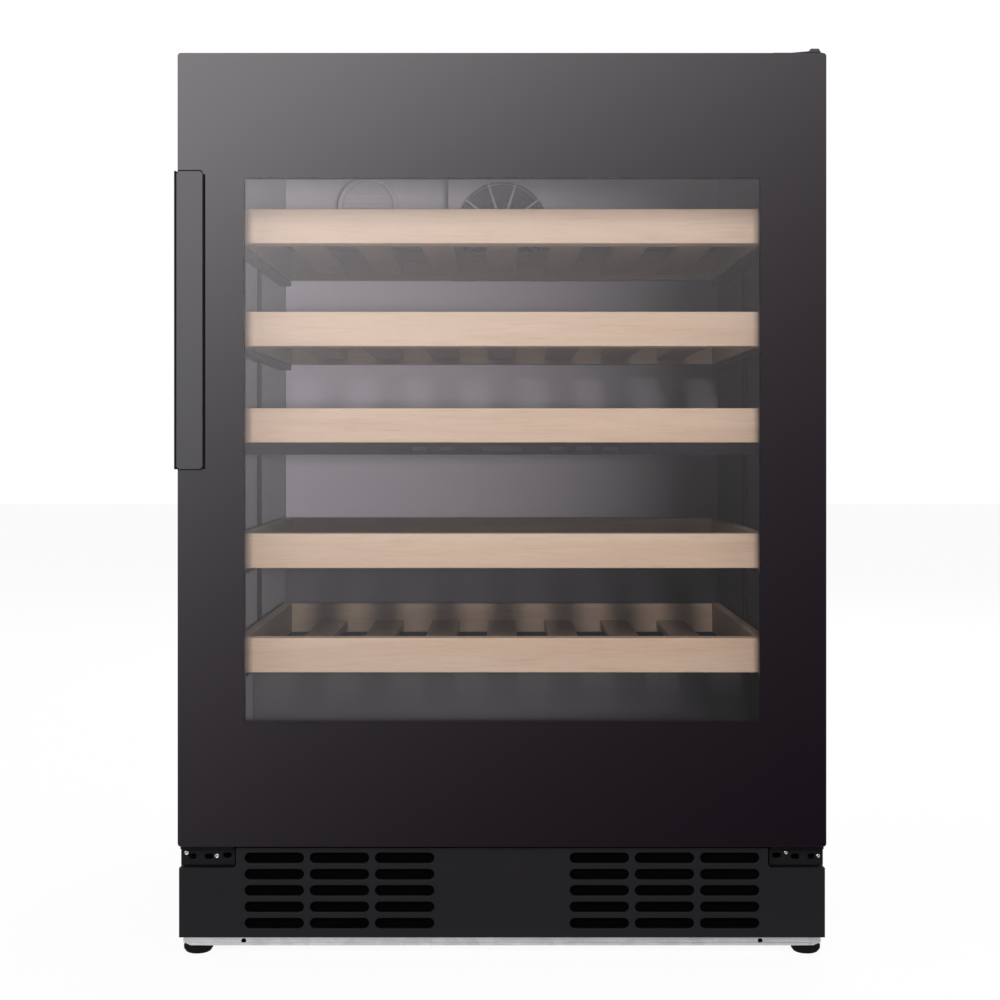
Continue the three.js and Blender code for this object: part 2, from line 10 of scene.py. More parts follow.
import bmesh
import bpy
import numpy as np
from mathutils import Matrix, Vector


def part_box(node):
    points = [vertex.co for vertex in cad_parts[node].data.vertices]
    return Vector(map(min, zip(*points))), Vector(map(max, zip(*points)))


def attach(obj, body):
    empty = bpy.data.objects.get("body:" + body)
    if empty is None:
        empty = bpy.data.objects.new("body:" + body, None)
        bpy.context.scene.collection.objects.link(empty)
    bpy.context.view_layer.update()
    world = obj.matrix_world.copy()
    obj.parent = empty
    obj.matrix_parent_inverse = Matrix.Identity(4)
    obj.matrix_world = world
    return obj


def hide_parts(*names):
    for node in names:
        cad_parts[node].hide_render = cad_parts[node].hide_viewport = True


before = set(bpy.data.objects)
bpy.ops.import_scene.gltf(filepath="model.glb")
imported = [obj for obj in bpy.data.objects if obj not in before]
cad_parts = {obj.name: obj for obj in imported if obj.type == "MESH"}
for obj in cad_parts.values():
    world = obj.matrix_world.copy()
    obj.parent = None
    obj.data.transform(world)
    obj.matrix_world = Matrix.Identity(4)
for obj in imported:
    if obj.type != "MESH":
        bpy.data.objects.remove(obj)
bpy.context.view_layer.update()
MM = 0.001


def corners(node):
    """The lowest and the highest corner of a CAD node, as two numpy arrays in metres."""
    low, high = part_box(node)
    return np.array(low), np.array(high)


glass_low, glass_high = corners("door_outer_glass")
FRONT = glass_low[1]


def span(node):
    """The lowest and the highest corner of a CAD node as (x, depth, z) in millimetres.

    The depth is counted backwards from the front face of the door's glass.
    """
    return ((corner - (0, FRONT, 0)) / MM for corner in corners(node))


# %% [markdown]
# The camera comes first. It stands level, straight in front of the door, at about the height of
# the divider. A lens could be chosen by eye, but here it follows from one ratio: a frame 0.917 m
# wide has to fit at the door when the eye is 1.574 m from it. The small shift keeps the uprights
# parallel while the door sits a little above the middle.

# %% Camera
EYE_DISTANCE = 1.574
EYE_HEIGHT = 0.470
FRAME_WIDTH = 0.9168

lens = bpy.data.cameras.new("camera")
lens.sensor_width = 36
lens.lens = lens.sensor_width * EYE_DISTANCE / FRAME_WIDTH
lens.shift_x = -0.002
lens.shift_y = -0.054
camera = bpy.data.objects.new("camera", lens)
camera.location = (0, FRONT - EYE_DISTANCE, EYE_HEIGHT)
camera.rotation_euler = (np.pi / 2, 0, 0)
bpy.context.scene.collection.objects.link(camera)
bpy.context.scene.camera = camera
print(f"camera: {lens.lens:.1f} mm lens")

# %% [markdown]
# A finish is a small network of nodes. Wiring it by hand in the shader editor is fine for one
# material, but a dozen related ones are easier to compare as text. Two helpers do it: `Value` is a
# node's output that understands + - * / with numbers and with other outputs, and `Finish` is a
# material that adds any node by its type.


# %% Shader helpers
class Value:
    """An output socket. Arithmetic on it adds a Math node and gives that node's output."""

    def __init__(self, finish, socket):
        self.finish, self.socket = finish, socket

    def math(self, operation, *terms):
        return self.finish.node("Math", {"operation": operation}, dict(enumerate(terms)))

    def __add__(self, other):
        return self.math("ADD", self, other)

    def __sub__(self, other):
        return self.math("SUBTRACT", self, other)

    def __rsub__(self, other):
        return self.math("SUBTRACT", other, self)

    def __mul__(self, other):
        return self.math("MULTIPLY", self, other)

    def __pow__(self, other):
        return self.math("POWER", self, other)

    def __abs__(self):
        return self.math("ABSOLUTE", self)

    __radd__ = __add__
    __rmul__ = __mul__


class Finish:
    """A material or a world under construction, with one method that adds any kind of node."""

    def __init__(self, name, family="materials"):
        self.owner = getattr(bpy.data, family).new(name)
        self.owner.use_nodes = True
        self.tree = self.owner.node_tree
        self.tree.nodes.clear()

    def node(self, kind, settings=None, sockets=None, output=0):
        """Adds a node: first its settings (a ramp's stops too), then its sockets' values or links."""
        made = self.tree.nodes.new("ShaderNode" + kind)
        for key, value in (settings or {}).items():
            if key == "stops":
                ramp = made.color_ramp.elements
                for element, (position, colour) in zip((ramp[0], ramp[1]), value):
                    element.position, element.color = position, (*colour, 1)
                for position, colour in value[2:]:
                    ramp.new(position).color = (*colour, 1)
            else:
                setattr(made, key, value)
        for key, value in (sockets or {}).items():
            if isinstance(value, Value):
                self.tree.links.new(value.socket, made.inputs[key])
            else:
                made.inputs[key].default_value = value
        return Value(self, made.outputs[output]) if made.outputs else None

    def place(self):
        """The point on the piece in metres, which is the same in every finish and view."""
        return self.node("TexCoord", output="Object")

    def axes(self):
        """The point's x, y and z, each as a value."""
        parts = self.node("SeparateXYZ", sockets={0: self.place()}).socket.node
        return [Value(self, parts.outputs[i]) for i in range(3)]

    def stretched(self, scale):
        """The point with each axis multiplied, so that a pattern runs long where the number is low."""
        return self.node("Mapping", sockets={"Vector": self.place(), "Scale": scale})

    def noise(self, scale, detail=3.0, roughness=0.5, vector=None, distortion=0.0):
        sockets = {
            "Vector": vector or self.place(),
            "Scale": scale,
            "Detail": detail,
            "Roughness": roughness,
            "Distortion": distortion,
        }
        return self.node("TexNoise", sockets=sockets)

    def ramp(self, value, low, high, to_low=0.0, to_high=1.0):
        """Moves a value from the range low..high to another range, easing in and out."""
        sockets = {0: value, 1: low, 2: high, 3: to_low, 4: to_high}
        return self.node("MapRange", {"interpolation_type": "SMOOTHSTEP"}, sockets)

    def mix(self, share, first, second):
        """One colour turning into another as share goes from 0 to 1."""
        colours = [c if isinstance(c, Value) else (*c, 1) for c in (first, second)]
        sockets = {0: share, 6: colours[0], 7: colours[1]}
        return self.node("Mix", {"data_type": "RGBA"}, sockets, output=2)

    def bump(self, height, distance, strength=1.0):
        sockets = {"Height": height, "Distance": distance, "Strength": strength}
        return self.node("Bump", sockets=sockets)

    def surface(self, **sockets):
        """The Principled shader; a socket's name is written with _ for a space."""
        named = {key.replace("_", " "): value for key, value in sockets.items()}
        if not isinstance(named["Base Color"], Value):
            named["Base Color"] = (*named["Base Color"], 1)
        return self.node("BsdfPrincipled", sockets=named)

    def done(self, shader):
        """Ends the network at the material's output and gives the material."""
        self.node("OutputMaterial", sockets={"Surface": shader})
        return self.owner


print("shader helpers ready")

# %% [markdown]
# The stage is a white floor and a white world. The floor could be lit until it turns white, but
# that would wash out the object as well, so for rays that come from the camera, or off metal, or
# through glass, most of it is a plain white glow, and the rest is lit and keeps the soft shadow.


# %% Floor and world
WHITE = (1, 1, 1, 1)
FLOOR_PAINT = 0.88
FLOOR_GLOW = 1.04
GLOW_SHARE = 0.88
FILL_LIGHT = 0.36
FLOOR_HALF = 12.0


def seen_directly(finish):
    """1 for a ray from the camera, off a gloss or through glass, and 0 for light bouncing about."""
    path = finish.node("LightPath").socket.node
    kinds = ("Camera", "Glossy", "Transmission")
    camera_ray, glossy, through = (Value(finish, path.outputs[f"Is {kind} Ray"]) for kind in kinds)
    straight = camera_ray.math("MAXIMUM", camera_ray, glossy)
    return straight.math("MAXIMUM", straight, through)


def floor_finish():
    finish = Finish("studio_floor")
    lit = finish.node("BsdfDiffuse", sockets={"Color": (FLOOR_PAINT, FLOOR_PAINT, FLOOR_PAINT, 1)})
    glow = finish.node("Emission", sockets={"Color": WHITE, "Strength": FLOOR_GLOW})
    share = seen_directly(finish) * GLOW_SHARE
    return finish.done(finish.node("MixShader", sockets={0: share, 1: lit, 2: glow}))


def grid_mesh(name, grids, wrap=True, caps=True):
    """A mesh from grids of points, each (rows, columns, 3).

    Neighbouring points of a grid make quads. With wrap the last column joins the first; with caps the
    first and the last row are closed by a face. Doubles are merged and the faces turned outwards.
    """
    points, faces, start = [], [], 0
    for grid in grids:
        rows, columns = grid.shape[:2]
        index = start + np.arange(rows * columns).reshape(rows, columns)
        here = index if wrap else index[:, :-1]
        right = np.roll(index, -1, axis=1) if wrap else index[:, 1:]
        quads = np.stack([here[:-1], right[:-1], right[1:], here[1:]], axis=-1)
        faces += quads.reshape(-1, 4).tolist()
        if caps:
            faces += [index[0, ::-1].tolist(), index[-1].tolist()]
        points.append(grid.reshape(-1, 3))
        start += rows * columns
    mesh = bpy.data.meshes.new(name)
    mesh.from_pydata(np.concatenate(points).tolist(), [], faces)
    tidy(mesh)
    return mesh


def tidy(mesh, merge=1e-6):
    """Merges points that meet, drops faces that have no area and turns the rest outwards."""
    work = bmesh.new()
    work.from_mesh(mesh)
    bmesh.ops.remove_doubles(work, verts=work.verts, dist=merge)
    bmesh.ops.dissolve_degenerate(work, dist=merge / 2, edges=work.edges)
    bmesh.ops.recalc_face_normals(work, faces=work.faces)
    work.to_mesh(mesh)
    work.free()


def stage_object(name, mesh, material):
    thing = bpy.data.objects.new(name, mesh)
    mesh.materials.append(material)
    bpy.context.scene.collection.objects.link(thing)
    return thing


edges = np.array([-FLOOR_HALF, FLOOR_HALF])
floor_grid = np.stack([*np.meshgrid(edges, edges), np.zeros((2, 2))], axis=-1)
stage_object("floor", grid_mesh("floor", [floor_grid], wrap=False, caps=False), floor_finish())

sky = Finish("world", "worlds")
bpy.context.scene.world = sky.owner
strength = seen_directly(sky) * (1 - FILL_LIGHT) + FILL_LIGHT
backdrop = sky.node("Background", sockets={"Color": WHITE, "Strength": strength})
sky.node("OutputWorld", sockets={"Surface": backdrop})
print("floor and world ready")

# %% [markdown]
# Black glass shows little of itself and much of the studio. A large curved card is often stood in
# front of such a door, bright at the upper left and dark at the lower right, and the door mirrors it.
# The card here is that: a sheet that lies on the floor and curves up behind the camera, seen only in
# reflections. For each of its points the mirrored place on the door is worked out, and the glow falls
# off evenly over the door, so the gradient stays smooth.


# %% Reflector card
CARD_NEAR, CARD_FAR = FRONT - 0.03, FRONT - 3.6
CARD_RADIUS, CARD_TOP, CARD_HALF = 1.4, 4.2, 3.0
CARD_LIFT = 1.5 * MM
CARD_COLOUR = (1, 0.965, 1, 1)
GLOW_START, GLOW_ACROSS, GLOW_UP = -1.84, -2.48, 3.79
BRIGHTEST = 5.8


def card_points(columns=60, rows=30):
    """A sheet: flat on the floor, a quarter circle up, then upright, with rows for each of the three.

    The floor stretch runs from near the door to where the curve starts. The width goes by column.
    """
    flat = np.linspace(CARD_NEAR, CARD_FAR + CARD_RADIUS, rows)
    turn = np.linspace(0, np.pi / 2, rows)
    rise = np.linspace(CARD_RADIUS, CARD_TOP, rows)
    y = np.concatenate([flat, CARD_FAR + CARD_RADIUS - CARD_RADIUS * np.sin(turn), np.full(rows, CARD_FAR)])
    z = np.concatenate([np.zeros(rows), CARD_RADIUS * (1 - np.cos(turn)), rise]) + CARD_LIFT
    x = np.tile(np.linspace(-CARD_HALF, CARD_HALF, columns), (y.size, 1))
    return np.stack([x, np.tile(y[:, None], columns), np.tile(z[:, None], columns)], -1)


def card_glow(points):
    """The glow of each point: e to the power of a plane over the door where the point is mirrored.

    The sum of inverse cubes eases it off near its brightest.
    """
    share = EYE_DISTANCE / (EYE_DISTANCE + FRONT - points[:, 1])
    across = np.clip(points[:, 0] * share, -0.4, 0.4)
    up = np.clip(EYE_HEIGHT + (points[:, 2] - EYE_HEIGHT) * share, 0.08, 0.86)
    glow = np.exp(GLOW_START + GLOW_ACROSS * across + GLOW_UP * up)
    return (glow**-3 + BRIGHTEST**-3) ** (-1 / 3)


def card_finish():
    finish = Finish("reflector_card")
    glow = finish.node("Attribute", {"attribute_name": "glow"}, output="Fac")
    return finish.done(finish.node("Emission", sockets={"Color": CARD_COLOUR, "Strength": glow}))


card_mesh = grid_mesh("reflector_card", [card_points()], wrap=False, caps=False)
places = np.zeros(len(card_mesh.vertices) * 3, np.float32)
card_mesh.vertices.foreach_get("co", places)
attribute = card_mesh.attributes.new("glow", "FLOAT", "POINT")
attribute.data.foreach_set("value", card_glow(places.reshape(-1, 3)).astype(np.float32))
card = stage_object("reflector_card", card_mesh, card_finish())
card.visible_camera = card.visible_diffuse = card.visible_transmission = False
card.visible_shadow = card.visible_volume_scatter = False
print(f"card: {len(card_mesh.vertices)} points")


# %% [markdown]
# Two lamps would be enough for a closed box, but a glass door needs a third. The key stands high in
# front and is narrow, so that both ends of every shelf see all of it. A wide, shallow lamp at the right,
# level with the divider, shines through the door on to the back wall, where the door's right edge makes
# its light fall off from left to right. It is linked to the inside of the cabinet only, because it would
# flatten the outside.


# %% Lamps
def lamp(name, place, target, size, power):
    """A rectangular soft light at a place, turned towards a target; size is its width and height."""
    data = bpy.data.lights.new(name, "AREA")
    data.shape, data.energy = "RECTANGLE", power
    data.size, data.size_y = size
    made = bpy.data.objects.new(name, data)
    direction = Vector(place) - Vector(target)
    made.rotation_euler = direction.to_track_quat("Z", "Y").to_euler()
    made.location = place
    made.visible_glossy = False
    bpy.context.scene.collection.objects.link(made)
    return made


lamp("key", (-0.05, -3.4, 1.9), (0, FRONT, 0.45), (0.36, 1.2), 82)
lamp("behind", (0.5, 2.6, 2.4), (0, 0, 0.45), (1.6, 1.6), 40)
inside_lamp = lamp("inside", (1.03, -1.91, 0.47), (0, 0, 0.47), (1.62, 0.12), 66)
inside = bpy.data.collections.new("lit_by_the_inside_lamp")
inside_lamp.light_linking.receiver_collection = inside


def light_inside(*pieces):
    """Lets the inside lamp reach these pieces."""
    for piece in pieces:
        inside.objects.link(piece)


light_inside(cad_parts["air_duct_cover"])
print("lamps: key high in front, one behind, one for the inside")

# %% [markdown]
# ## Finishes
#
# Plastic, paint, zinc, wood and glass each get a function. Every one adds what the real surface has
# at its real scale: the fine grain of a moulding tool, the orange peel of paint, the crystals of
# zinc, the pores of beech. A flat colour would be quicker but would look like a toy.


# %% Plastics, paint and rubber
def moulded(name, colour, roughness, grain=1400, depth=0.0015, shine=0.5):
    """Moulded plastic: a fine spark-eroded grain, and a slow drift in how glossy it is."""
    finish = Finish(name)
    grains = finish.noise(grain, detail=2)
    drift = finish.noise(9, detail=2)
    tone = finish.mix(drift, [c * 0.9 for c in colour], [c * 1.1 for c in colour])
    rough = drift * 0.08 + grains * 0.06 + (roughness - 0.07)
    shader = finish.surface(
        Base_Color=tone,
        Roughness=rough,
        Specular_IOR_Level=shine,
        Normal=finish.bump(grains, depth * MM),
    )
    return finish.done(shader)


def painted(name, colour, roughness):
    """Baked paint on sheet steel: orange peel about 2 mm across, and faint wipe marks."""
    finish = Finish(name)
    peel = finish.noise(420, detail=1)
    wipes = finish.noise(9, detail=2, vector=finish.stretched((1.0, 0.7, 1.4)))
    shader = finish.surface(
        Base_Color=finish.mix(wipes, [c * 0.96 for c in colour], [c * 1.04 for c in colour]),
        Roughness=wipes * 0.04 + (roughness - 0.02),
        Normal=finish.bump(peel, 0.02 * MM),
    )
    return finish.done(shader)


plastic_black = moulded("plastic_black", (0.018, 0.0165, 0.0185), 0.42)
panel_black = moulded("panel_black", (0.0092, 0.0084, 0.0099), 0.55, shine=0.12)
liner_black = moulded("liner_black", (0.05, 0.049, 0.051), 0.55, shine=0.1)
liner_grey = moulded("liner_grey", (0.125, 0.123, 0.126), 0.55, shine=0.1)
strip_black = moulded("strip_black", (0.010, 0.0095, 0.0105), 0.4, shine=0.15)
# painted shade: the hinge brackets are darker than the cabinet's black paint, for the shade in the panel's
# notches
painted_shade_bracket_black = moulded("painted_shade_bracket_black", (0.0062, 0.0055, 0.0066), 0.6, shine=0.12)
plastic_grey = moulded("plastic_grey", (0.18, 0.18, 0.185), 0.5)
gloss_black = moulded("gloss_black", (0.006, 0.006, 0.0065), 0.12, grain=300, depth=0.004)
rubber_black = moulded("rubber_black", (0.012, 0.0115, 0.0125), 0.68, grain=800, depth=0.05, shine=0.3)
foot_black = moulded("foot_black", (0.006, 0.0055, 0.0062), 0.8, grain=900, depth=0.03, shine=0.06)
steel_black = painted("steel_black", (0.02, 0.019, 0.021), 0.38)
print("plastics, paint and rubber ready")


# %% Metals
def galvanised():
    """Zinc-coated steel: flat crystals about 9 mm across, each with its own grey, and fine rolling lines."""
    finish = Finish("zinc_steel")
    cells = {"Vector": finish.place(), "Scale": 110}
    crystals = finish.node("TexVoronoi", {"feature": "F1"}, cells, "Color")
    grey = finish.node("SeparateXYZ", sockets={0: crystals})
    lines = finish.noise(40, detail=3, vector=finish.stretched((0.6, 12.0, 12.0)))
    tone = finish.mix(grey * 0.3 + lines * 0.7, (0.42, 0.422, 0.43), (0.68, 0.682, 0.69))
    shader = finish.surface(
        Base_Color=tone,
        Metallic=1.0,
        Roughness=grey * 0.06 + lines * 0.12 + 0.3,
        Normal=finish.bump(lines, 0.02 * MM),
    )
    return finish.done(shader)


def bare_metal(name, colour, roughness):
    """Rolled aluminium or bright plating: fine lines along x and a little stain."""
    finish = Finish(name)
    lines = finish.noise(60, detail=3, vector=finish.stretched((0.5, 14.0, 14.0)))
    stain = finish.noise(12, detail=3)
    shader = finish.surface(
        Base_Color=finish.mix(stain, [c * 0.85 for c in colour], colour),
        Metallic=1.0,
        Roughness=lines * 0.16 + (roughness - 0.08),
        Normal=finish.bump(lines, 0.01 * MM),
    )
    return finish.done(shader)


zinc_steel = galvanised()
aluminium = bare_metal("aluminium", (0.72, 0.725, 0.73), 0.35)
bright_screw = bare_metal("bright_screw", (0.62, 0.61, 0.6), 0.25)
print("metals ready")

# %% [markdown]
# Beech is pale and even, with dark flecks a few millimetres long. A picture of wood would repeat from
# shelf to shelf, while noise drawn out along the grain gives every board its own pattern.


# %% Beech
def beech(name, along, depth=1.0):
    """Beech with its grain along one axis (0 is x, 1 is y); depth below 1 makes the board darker.

    Three patterns, all drawn out along the grain: slow bands of tone, fine fibres, and the short dark
    flecks that tell beech from other pale woods.
    """
    finish = Finish(name)
    long_scale = [1.0, 1.0, 1.0]
    long_scale[along] = 0.06
    fibre_place = finish.stretched(long_scale)
    bands = finish.noise(38, detail=4, roughness=0.55, vector=fibre_place, distortion=0.4)
    fibres = finish.noise(420, detail=4, roughness=0.6, vector=fibre_place)
    fleck_scale = [1.0, 1.0, 1.0]
    fleck_scale[along] = 0.16
    flecks = finish.noise(900, detail=1, vector=finish.stretched(fleck_scale))
    dark_flecks = finish.ramp(flecks, 0.62, 0.74)
    shades = (0.763, 0.600, 0.424), (0.677, 0.494, 0.335), (0.403, 0.252, 0.152)
    pale, warm, brown = ([c * depth for c in shade] for shade in shades)
    tone = finish.mix(finish.ramp(bands, 0.3, 0.72), pale, warm)
    tone = finish.mix(finish.ramp(fibres, 0.45, 0.8) * 0.28, tone, brown)
    tone = finish.mix(dark_flecks * 0.22, tone, brown)
    height = fibres * 0.6 - dark_flecks * 0.5
    shader = finish.surface(
        Base_Color=tone,
        Roughness=fibres * 0.18 + 0.42,
        Normal=finish.bump(height, 0.02 * MM, 0.6),
        Specular_IOR_Level=0.35,
    )
    return finish.done(shader)


beech_across = beech("beech_across", 0)
beech_deep = beech("beech_deep", 1, 0.7)
beech_back = beech("beech_back", 0, 0.7)
print("beech ready, with the grain across and from front to back")

# %% [markdown]
# ## Door glass
#
# The outer pane is one sheet of glass with black print fired on to it, except for a clear window.
# Two sheets would be easier to colour, but they would show a seam that isn't there, so one mask
# decides, point by point, between the opaque black and the clear glass. A clear pane is drawn as a
# mirror of a few per cent over see-through: real refraction in such thin sheets bends nothing that
# anyone could see, and it would keep the lamps from lighting the shelves.

# %% Glass finishes
WINDOW_HALF = 236.7 * MM
WINDOW_BOTTOM = 217 * MM
WINDOW_TOP = 716 * MM
EDGE = 0.4 * MM
SOFT_EDGE = 3.0 * MM


def mirror_share(finish, straight):
    """How much a clear face reflects: a few per cent straight on, all of it at a grazing angle."""
    grazing = finish.node("LayerWeight", sockets={"Blend": 0.5}, output="Facing")
    return grazing**5 * (1 - straight) + straight


def clear_glass(finish, tint, straight):
    through = finish.node("BsdfTransparent", sockets={"Color": (*tint, 1)})
    gloss = finish.node("BsdfGlossy", sockets={"Color": (1, 1, 1, 1), "Roughness": 0.03})
    share = mirror_share(finish, straight)
    return finish.node("MixShader", sockets={0: share, 1: through, 2: gloss})


def window_mask(finish):
    """1 in the window and 0 on the print: sharp at the sides and the top, softer at the lower edge."""
    x, _, z = finish.axes()
    sides = finish.ramp(abs(x), WINDOW_HALF - EDGE, WINDOW_HALF + EDGE, 1.0, 0.0)
    top = finish.ramp(z, WINDOW_TOP - EDGE, WINDOW_TOP + EDGE, 1.0, 0.0)
    bottom = finish.ramp(z, WINDOW_BOTTOM - SOFT_EDGE, WINDOW_BOTTOM + SOFT_EDGE)
    return sides * top * bottom


def printed_glass():
    finish = Finish("printed_glass")
    smears = finish.noise(6, detail=3)
    printed = finish.surface(Base_Color=(0.0048, 0.0012, 0.0044), Roughness=smears * 0.04 + 0.06)
    clear = clear_glass(finish, (0.96, 0.953, 0.96), 0.030)
    shader = finish.node("MixShader", sockets={0: window_mask(finish), 1: printed, 2: clear})
    return finish.done(shader)


def inner_glass():
    finish = Finish("inner_glass")
    return finish.done(clear_glass(finish, (0.98, 0.973, 0.98), 0.001))


door_glass = printed_glass()
pane_glass = inner_glass()
print("glass ready")


# %% Small finishes
def milky(name, colour):
    """The milky cover of a light that is off."""
    finish = Finish(name)
    haze = finish.noise(60, detail=2)
    tone = finish.mix(haze, [c * 0.85 for c in colour], colour)
    return finish.done(finish.surface(Base_Color=tone, Roughness=0.35))


def circuit_board():
    """Green lacquer over copper, with a web of tracks."""
    finish = Finish("circuit_board")
    cells = {"Vector": finish.place(), "Scale": 260}
    tracks = finish.node("TexVoronoi", {"feature": "DISTANCE_TO_EDGE"}, cells)
    tone = finish.mix(finish.ramp(tracks, 0.05, 0.12), (0.03, 0.16, 0.07), (0.01, 0.08, 0.035))
    return finish.done(finish.surface(Base_Color=tone, Roughness=0.35))


def duct_wall_with_painted_shade():
    """The back wall: dark grey plastic, turned near black behind the fourth shelf and below as painted
    shade.
    """
    finish = Finish("wall_grey_painted_shade")
    z = finish.axes()[2]
    grain = finish.noise(900, detail=2)
    # painted shade: the tone falls from grey to near black below the fourth shelf
    tone = finish.mix(finish.ramp(z, 0.355, 0.38), (0.045, 0.044, 0.046), (0.292, 0.281, 0.294))
    shader = finish.surface(
        Base_Color=tone,
        Roughness=grain * 0.04 + 0.53,
        Specular_IOR_Level=0.1,
        Normal=finish.bump(grain, 0.001 * MM),
    )
    return finish.done(shader)


wall_grey_painted_shade = duct_wall_with_painted_shade()
light_cover = milky("light_cover", (0.86, 0.92, 1.0))
board_green = circuit_board()
foam_cream = moulded("foam_cream", (0.70, 0.62, 0.42), 0.9, grain=500, depth=0.2, shine=0.2)
print("small finishes ready")

# %% [markdown]
# ## CAD pieces that keep their shape
#
# Most hidden and many visible nodes already have the right shape, and only need a finish and edges
# that catch the light. The edges could be modelled one by one. Four modifiers do the same for every
# node: Weld joins the loose triangles, Decimate dissolves the flat ones into whole faces, Bevel rounds
# what is left, and Weighted Normal keeps the big faces flat to the eye. Nodes that get a finer piece
# below aren't listed here.


# %% Dress the CAD nodes
FLAT_WEIGHT = 90
EDGE_ROUND = 0.5


def dress(node, material, bevel):
    """Gives a CAD node its finish and rounded edges; bevel is in millimetres, and 0 leaves it sharp."""
    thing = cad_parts[node]
    thing.data.materials.clear()
    thing.data.materials.append(material)
    if not bevel:
        return
    weld = thing.modifiers.new("weld", "WELD")
    weld.merge_threshold = 0.01 * MM
    flat = thing.modifiers.new("flat", "DECIMATE")
    flat.decimate_type = "DISSOLVE"
    flat.angle_limit = np.radians(1)
    edge = thing.modifiers.new("edge", "BEVEL")
    edge.width, edge.segments = bevel * MM, 2
    edge.limit_method, edge.angle_limit = "ANGLE", np.radians(35)
    even = thing.modifiers.new("even", "WEIGHTED_NORMAL")
    even.weight = FLAT_WEIGHT
    thing.data.shade_smooth()


LEDGES = " ".join(f"{side}_{zone}_ledges" for side in ("left", "right") for zone in ("upper", "lower"))
BUTTONS = " ".join(f"{key}_button" for key in ("power", "light", "zone", "cooler", "warmer"))
DRESSED = {
    plastic_black: "door_frame upper_hinge_cap cooling_fan_frame",
    liner_black: "zone_divider " + LEDGES,
    wall_grey_painted_shade: "air_duct_cover",
    plastic_grey: "fan_motor drip_tray",
    strip_black: "control_strip",
    gloss_black: "display_window glazing_spacer " + BUTTONS,
    steel_black: "cabinet_wrap upper_hinge_plate compressor",
    painted_shade_bracket_black: "lower_hinge_bracket spare_hinge_bracket",
    zinc_steel: "base_plate",
    aluminium: "evaporator_plate condenser",
    light_cover: "upper_light_bar lower_light_bar",
    board_green: "control_board",
    foam_cream: "insulation_foam",
    pane_glass: "door_inner_glass",
}
SHARP = {"door_inner_glass", "insulation_foam", "condenser"}
for material, names in DRESSED.items():
    for node in names.split():
        dress(node, material, 0 if node in SHARP else EDGE_ROUND)
dressed = sum(len(names.split()) for names in DRESSED.values())
print(f"{dressed} of {len(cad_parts)} CAD nodes dressed, and the others get finer pieces")

# %% [markdown]
# ## Shapes from formulas
#
# The finer pieces are surfaces on a grid: each point is worked out from its row and its column. A few
# kinds cover nearly the whole object: a block with rounded edges, a plate with a rounded outline, a
# shape turned about an axis, and a profile carried round a rounded rectangle. The same could be done
# with primitives and modifiers, but then every size would hide in a different panel.


# %% Pieces and their place on the object
def depth_y(depth):
    """The y of a depth behind the door's glass, with the depth in millimetres."""
    return FRONT + depth * MM


def point(x, depth, z):
    """A place in metres, from its x, its depth behind the glass and its height in millimetres."""
    return (x * MM, depth_y(depth), z * MM)


def keep_flat(thing):
    """Weights the normals by area, so that a big flat face mirrors as a flat one up to its round edge."""
    even = thing.modifiers.new("even", "WEIGHTED_NORMAL")
    even.weight, even.keep_sharp = FLAT_WEIGHT, True


def add_piece(name, mesh, material, body, replaces=(), crease=32):
    """Puts a mesh on the object: its finish, its body and the CAD nodes that it stands for."""
    thing = bpy.data.objects.new(name, mesh)
    mesh.materials.append(material)
    mesh.shade_smooth()
    mesh.set_sharp_from_angle(angle=np.radians(crease))
    bpy.context.scene.collection.objects.link(thing)
    keep_flat(thing)
    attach(thing, body)
    if replaces:
        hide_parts(*replaces)
    return thing


def rounded_block(x, depth, z, radius=0.8, steps=3):
    """A block with rounded edges, from its ranges in x, in depth and in height, in millimetres.

    With n the direction of each point of a sphere, the surface is sign(n) * (half - radius) + radius * n:
    an eighth of a sphere at each corner, with the faces between them.
    """
    low = np.array([x[0] * MM, depth_y(depth[0]), z[0] * MM])
    high = np.array([x[1] * MM, depth_y(depth[1]), z[1] * MM])
    middle, half = (low + high) / 2, (high - low) / 2
    r = min(radius * MM, half.min() * 0.99)
    quarter = np.linspace(0, np.pi / 2, steps + 1)
    around = np.concatenate([quarter + k * np.pi / 2 for k in range(4)])
    turn = np.repeat(np.arange(4) * np.pi / 2 + np.pi / 4, steps + 1)
    up = np.concatenate([quarter - np.pi / 2, quarter])
    level = np.repeat([-1.0, 1.0], steps + 1)[:, None] * np.ones(around.size)
    flat = np.cos(up)[:, None]
    n = np.stack([flat * np.cos(around), flat * np.sin(around), np.sin(up)[:, None] + 0 * around], -1)
    sign = np.stack([np.sign(np.cos(turn)) + 0 * level, np.sign(np.sin(turn)) + 0 * level, level], -1)
    return middle + sign * (half - r) + r * n


def lathe(profile, centre, axis="y", sides=48, lobes=None):
    """A profile of (radius, distance) in millimetres, turned about an axis through the centre.

    lobes(angle, distance) may give a factor for the radius, for flutes or a thread.
    """
    profile = np.array(profile, float) * MM
    angle = np.linspace(0, 2 * np.pi, sides, endpoint=False)
    radius = profile[:, :1] * np.ones(sides)
    along = profile[:, 1:] * np.ones(sides)
    if lobes:
        radius = radius * lobes(angle[None, :], along / MM)
    across = np.stack([radius * np.cos(angle), radius * np.sin(angle)], -1)
    order = {"y": (0, 2, 1), "z": (0, 1, 2)}[axis]
    points = np.concatenate([across, along[..., None]], -1)[..., order]
    return points + np.array(centre)


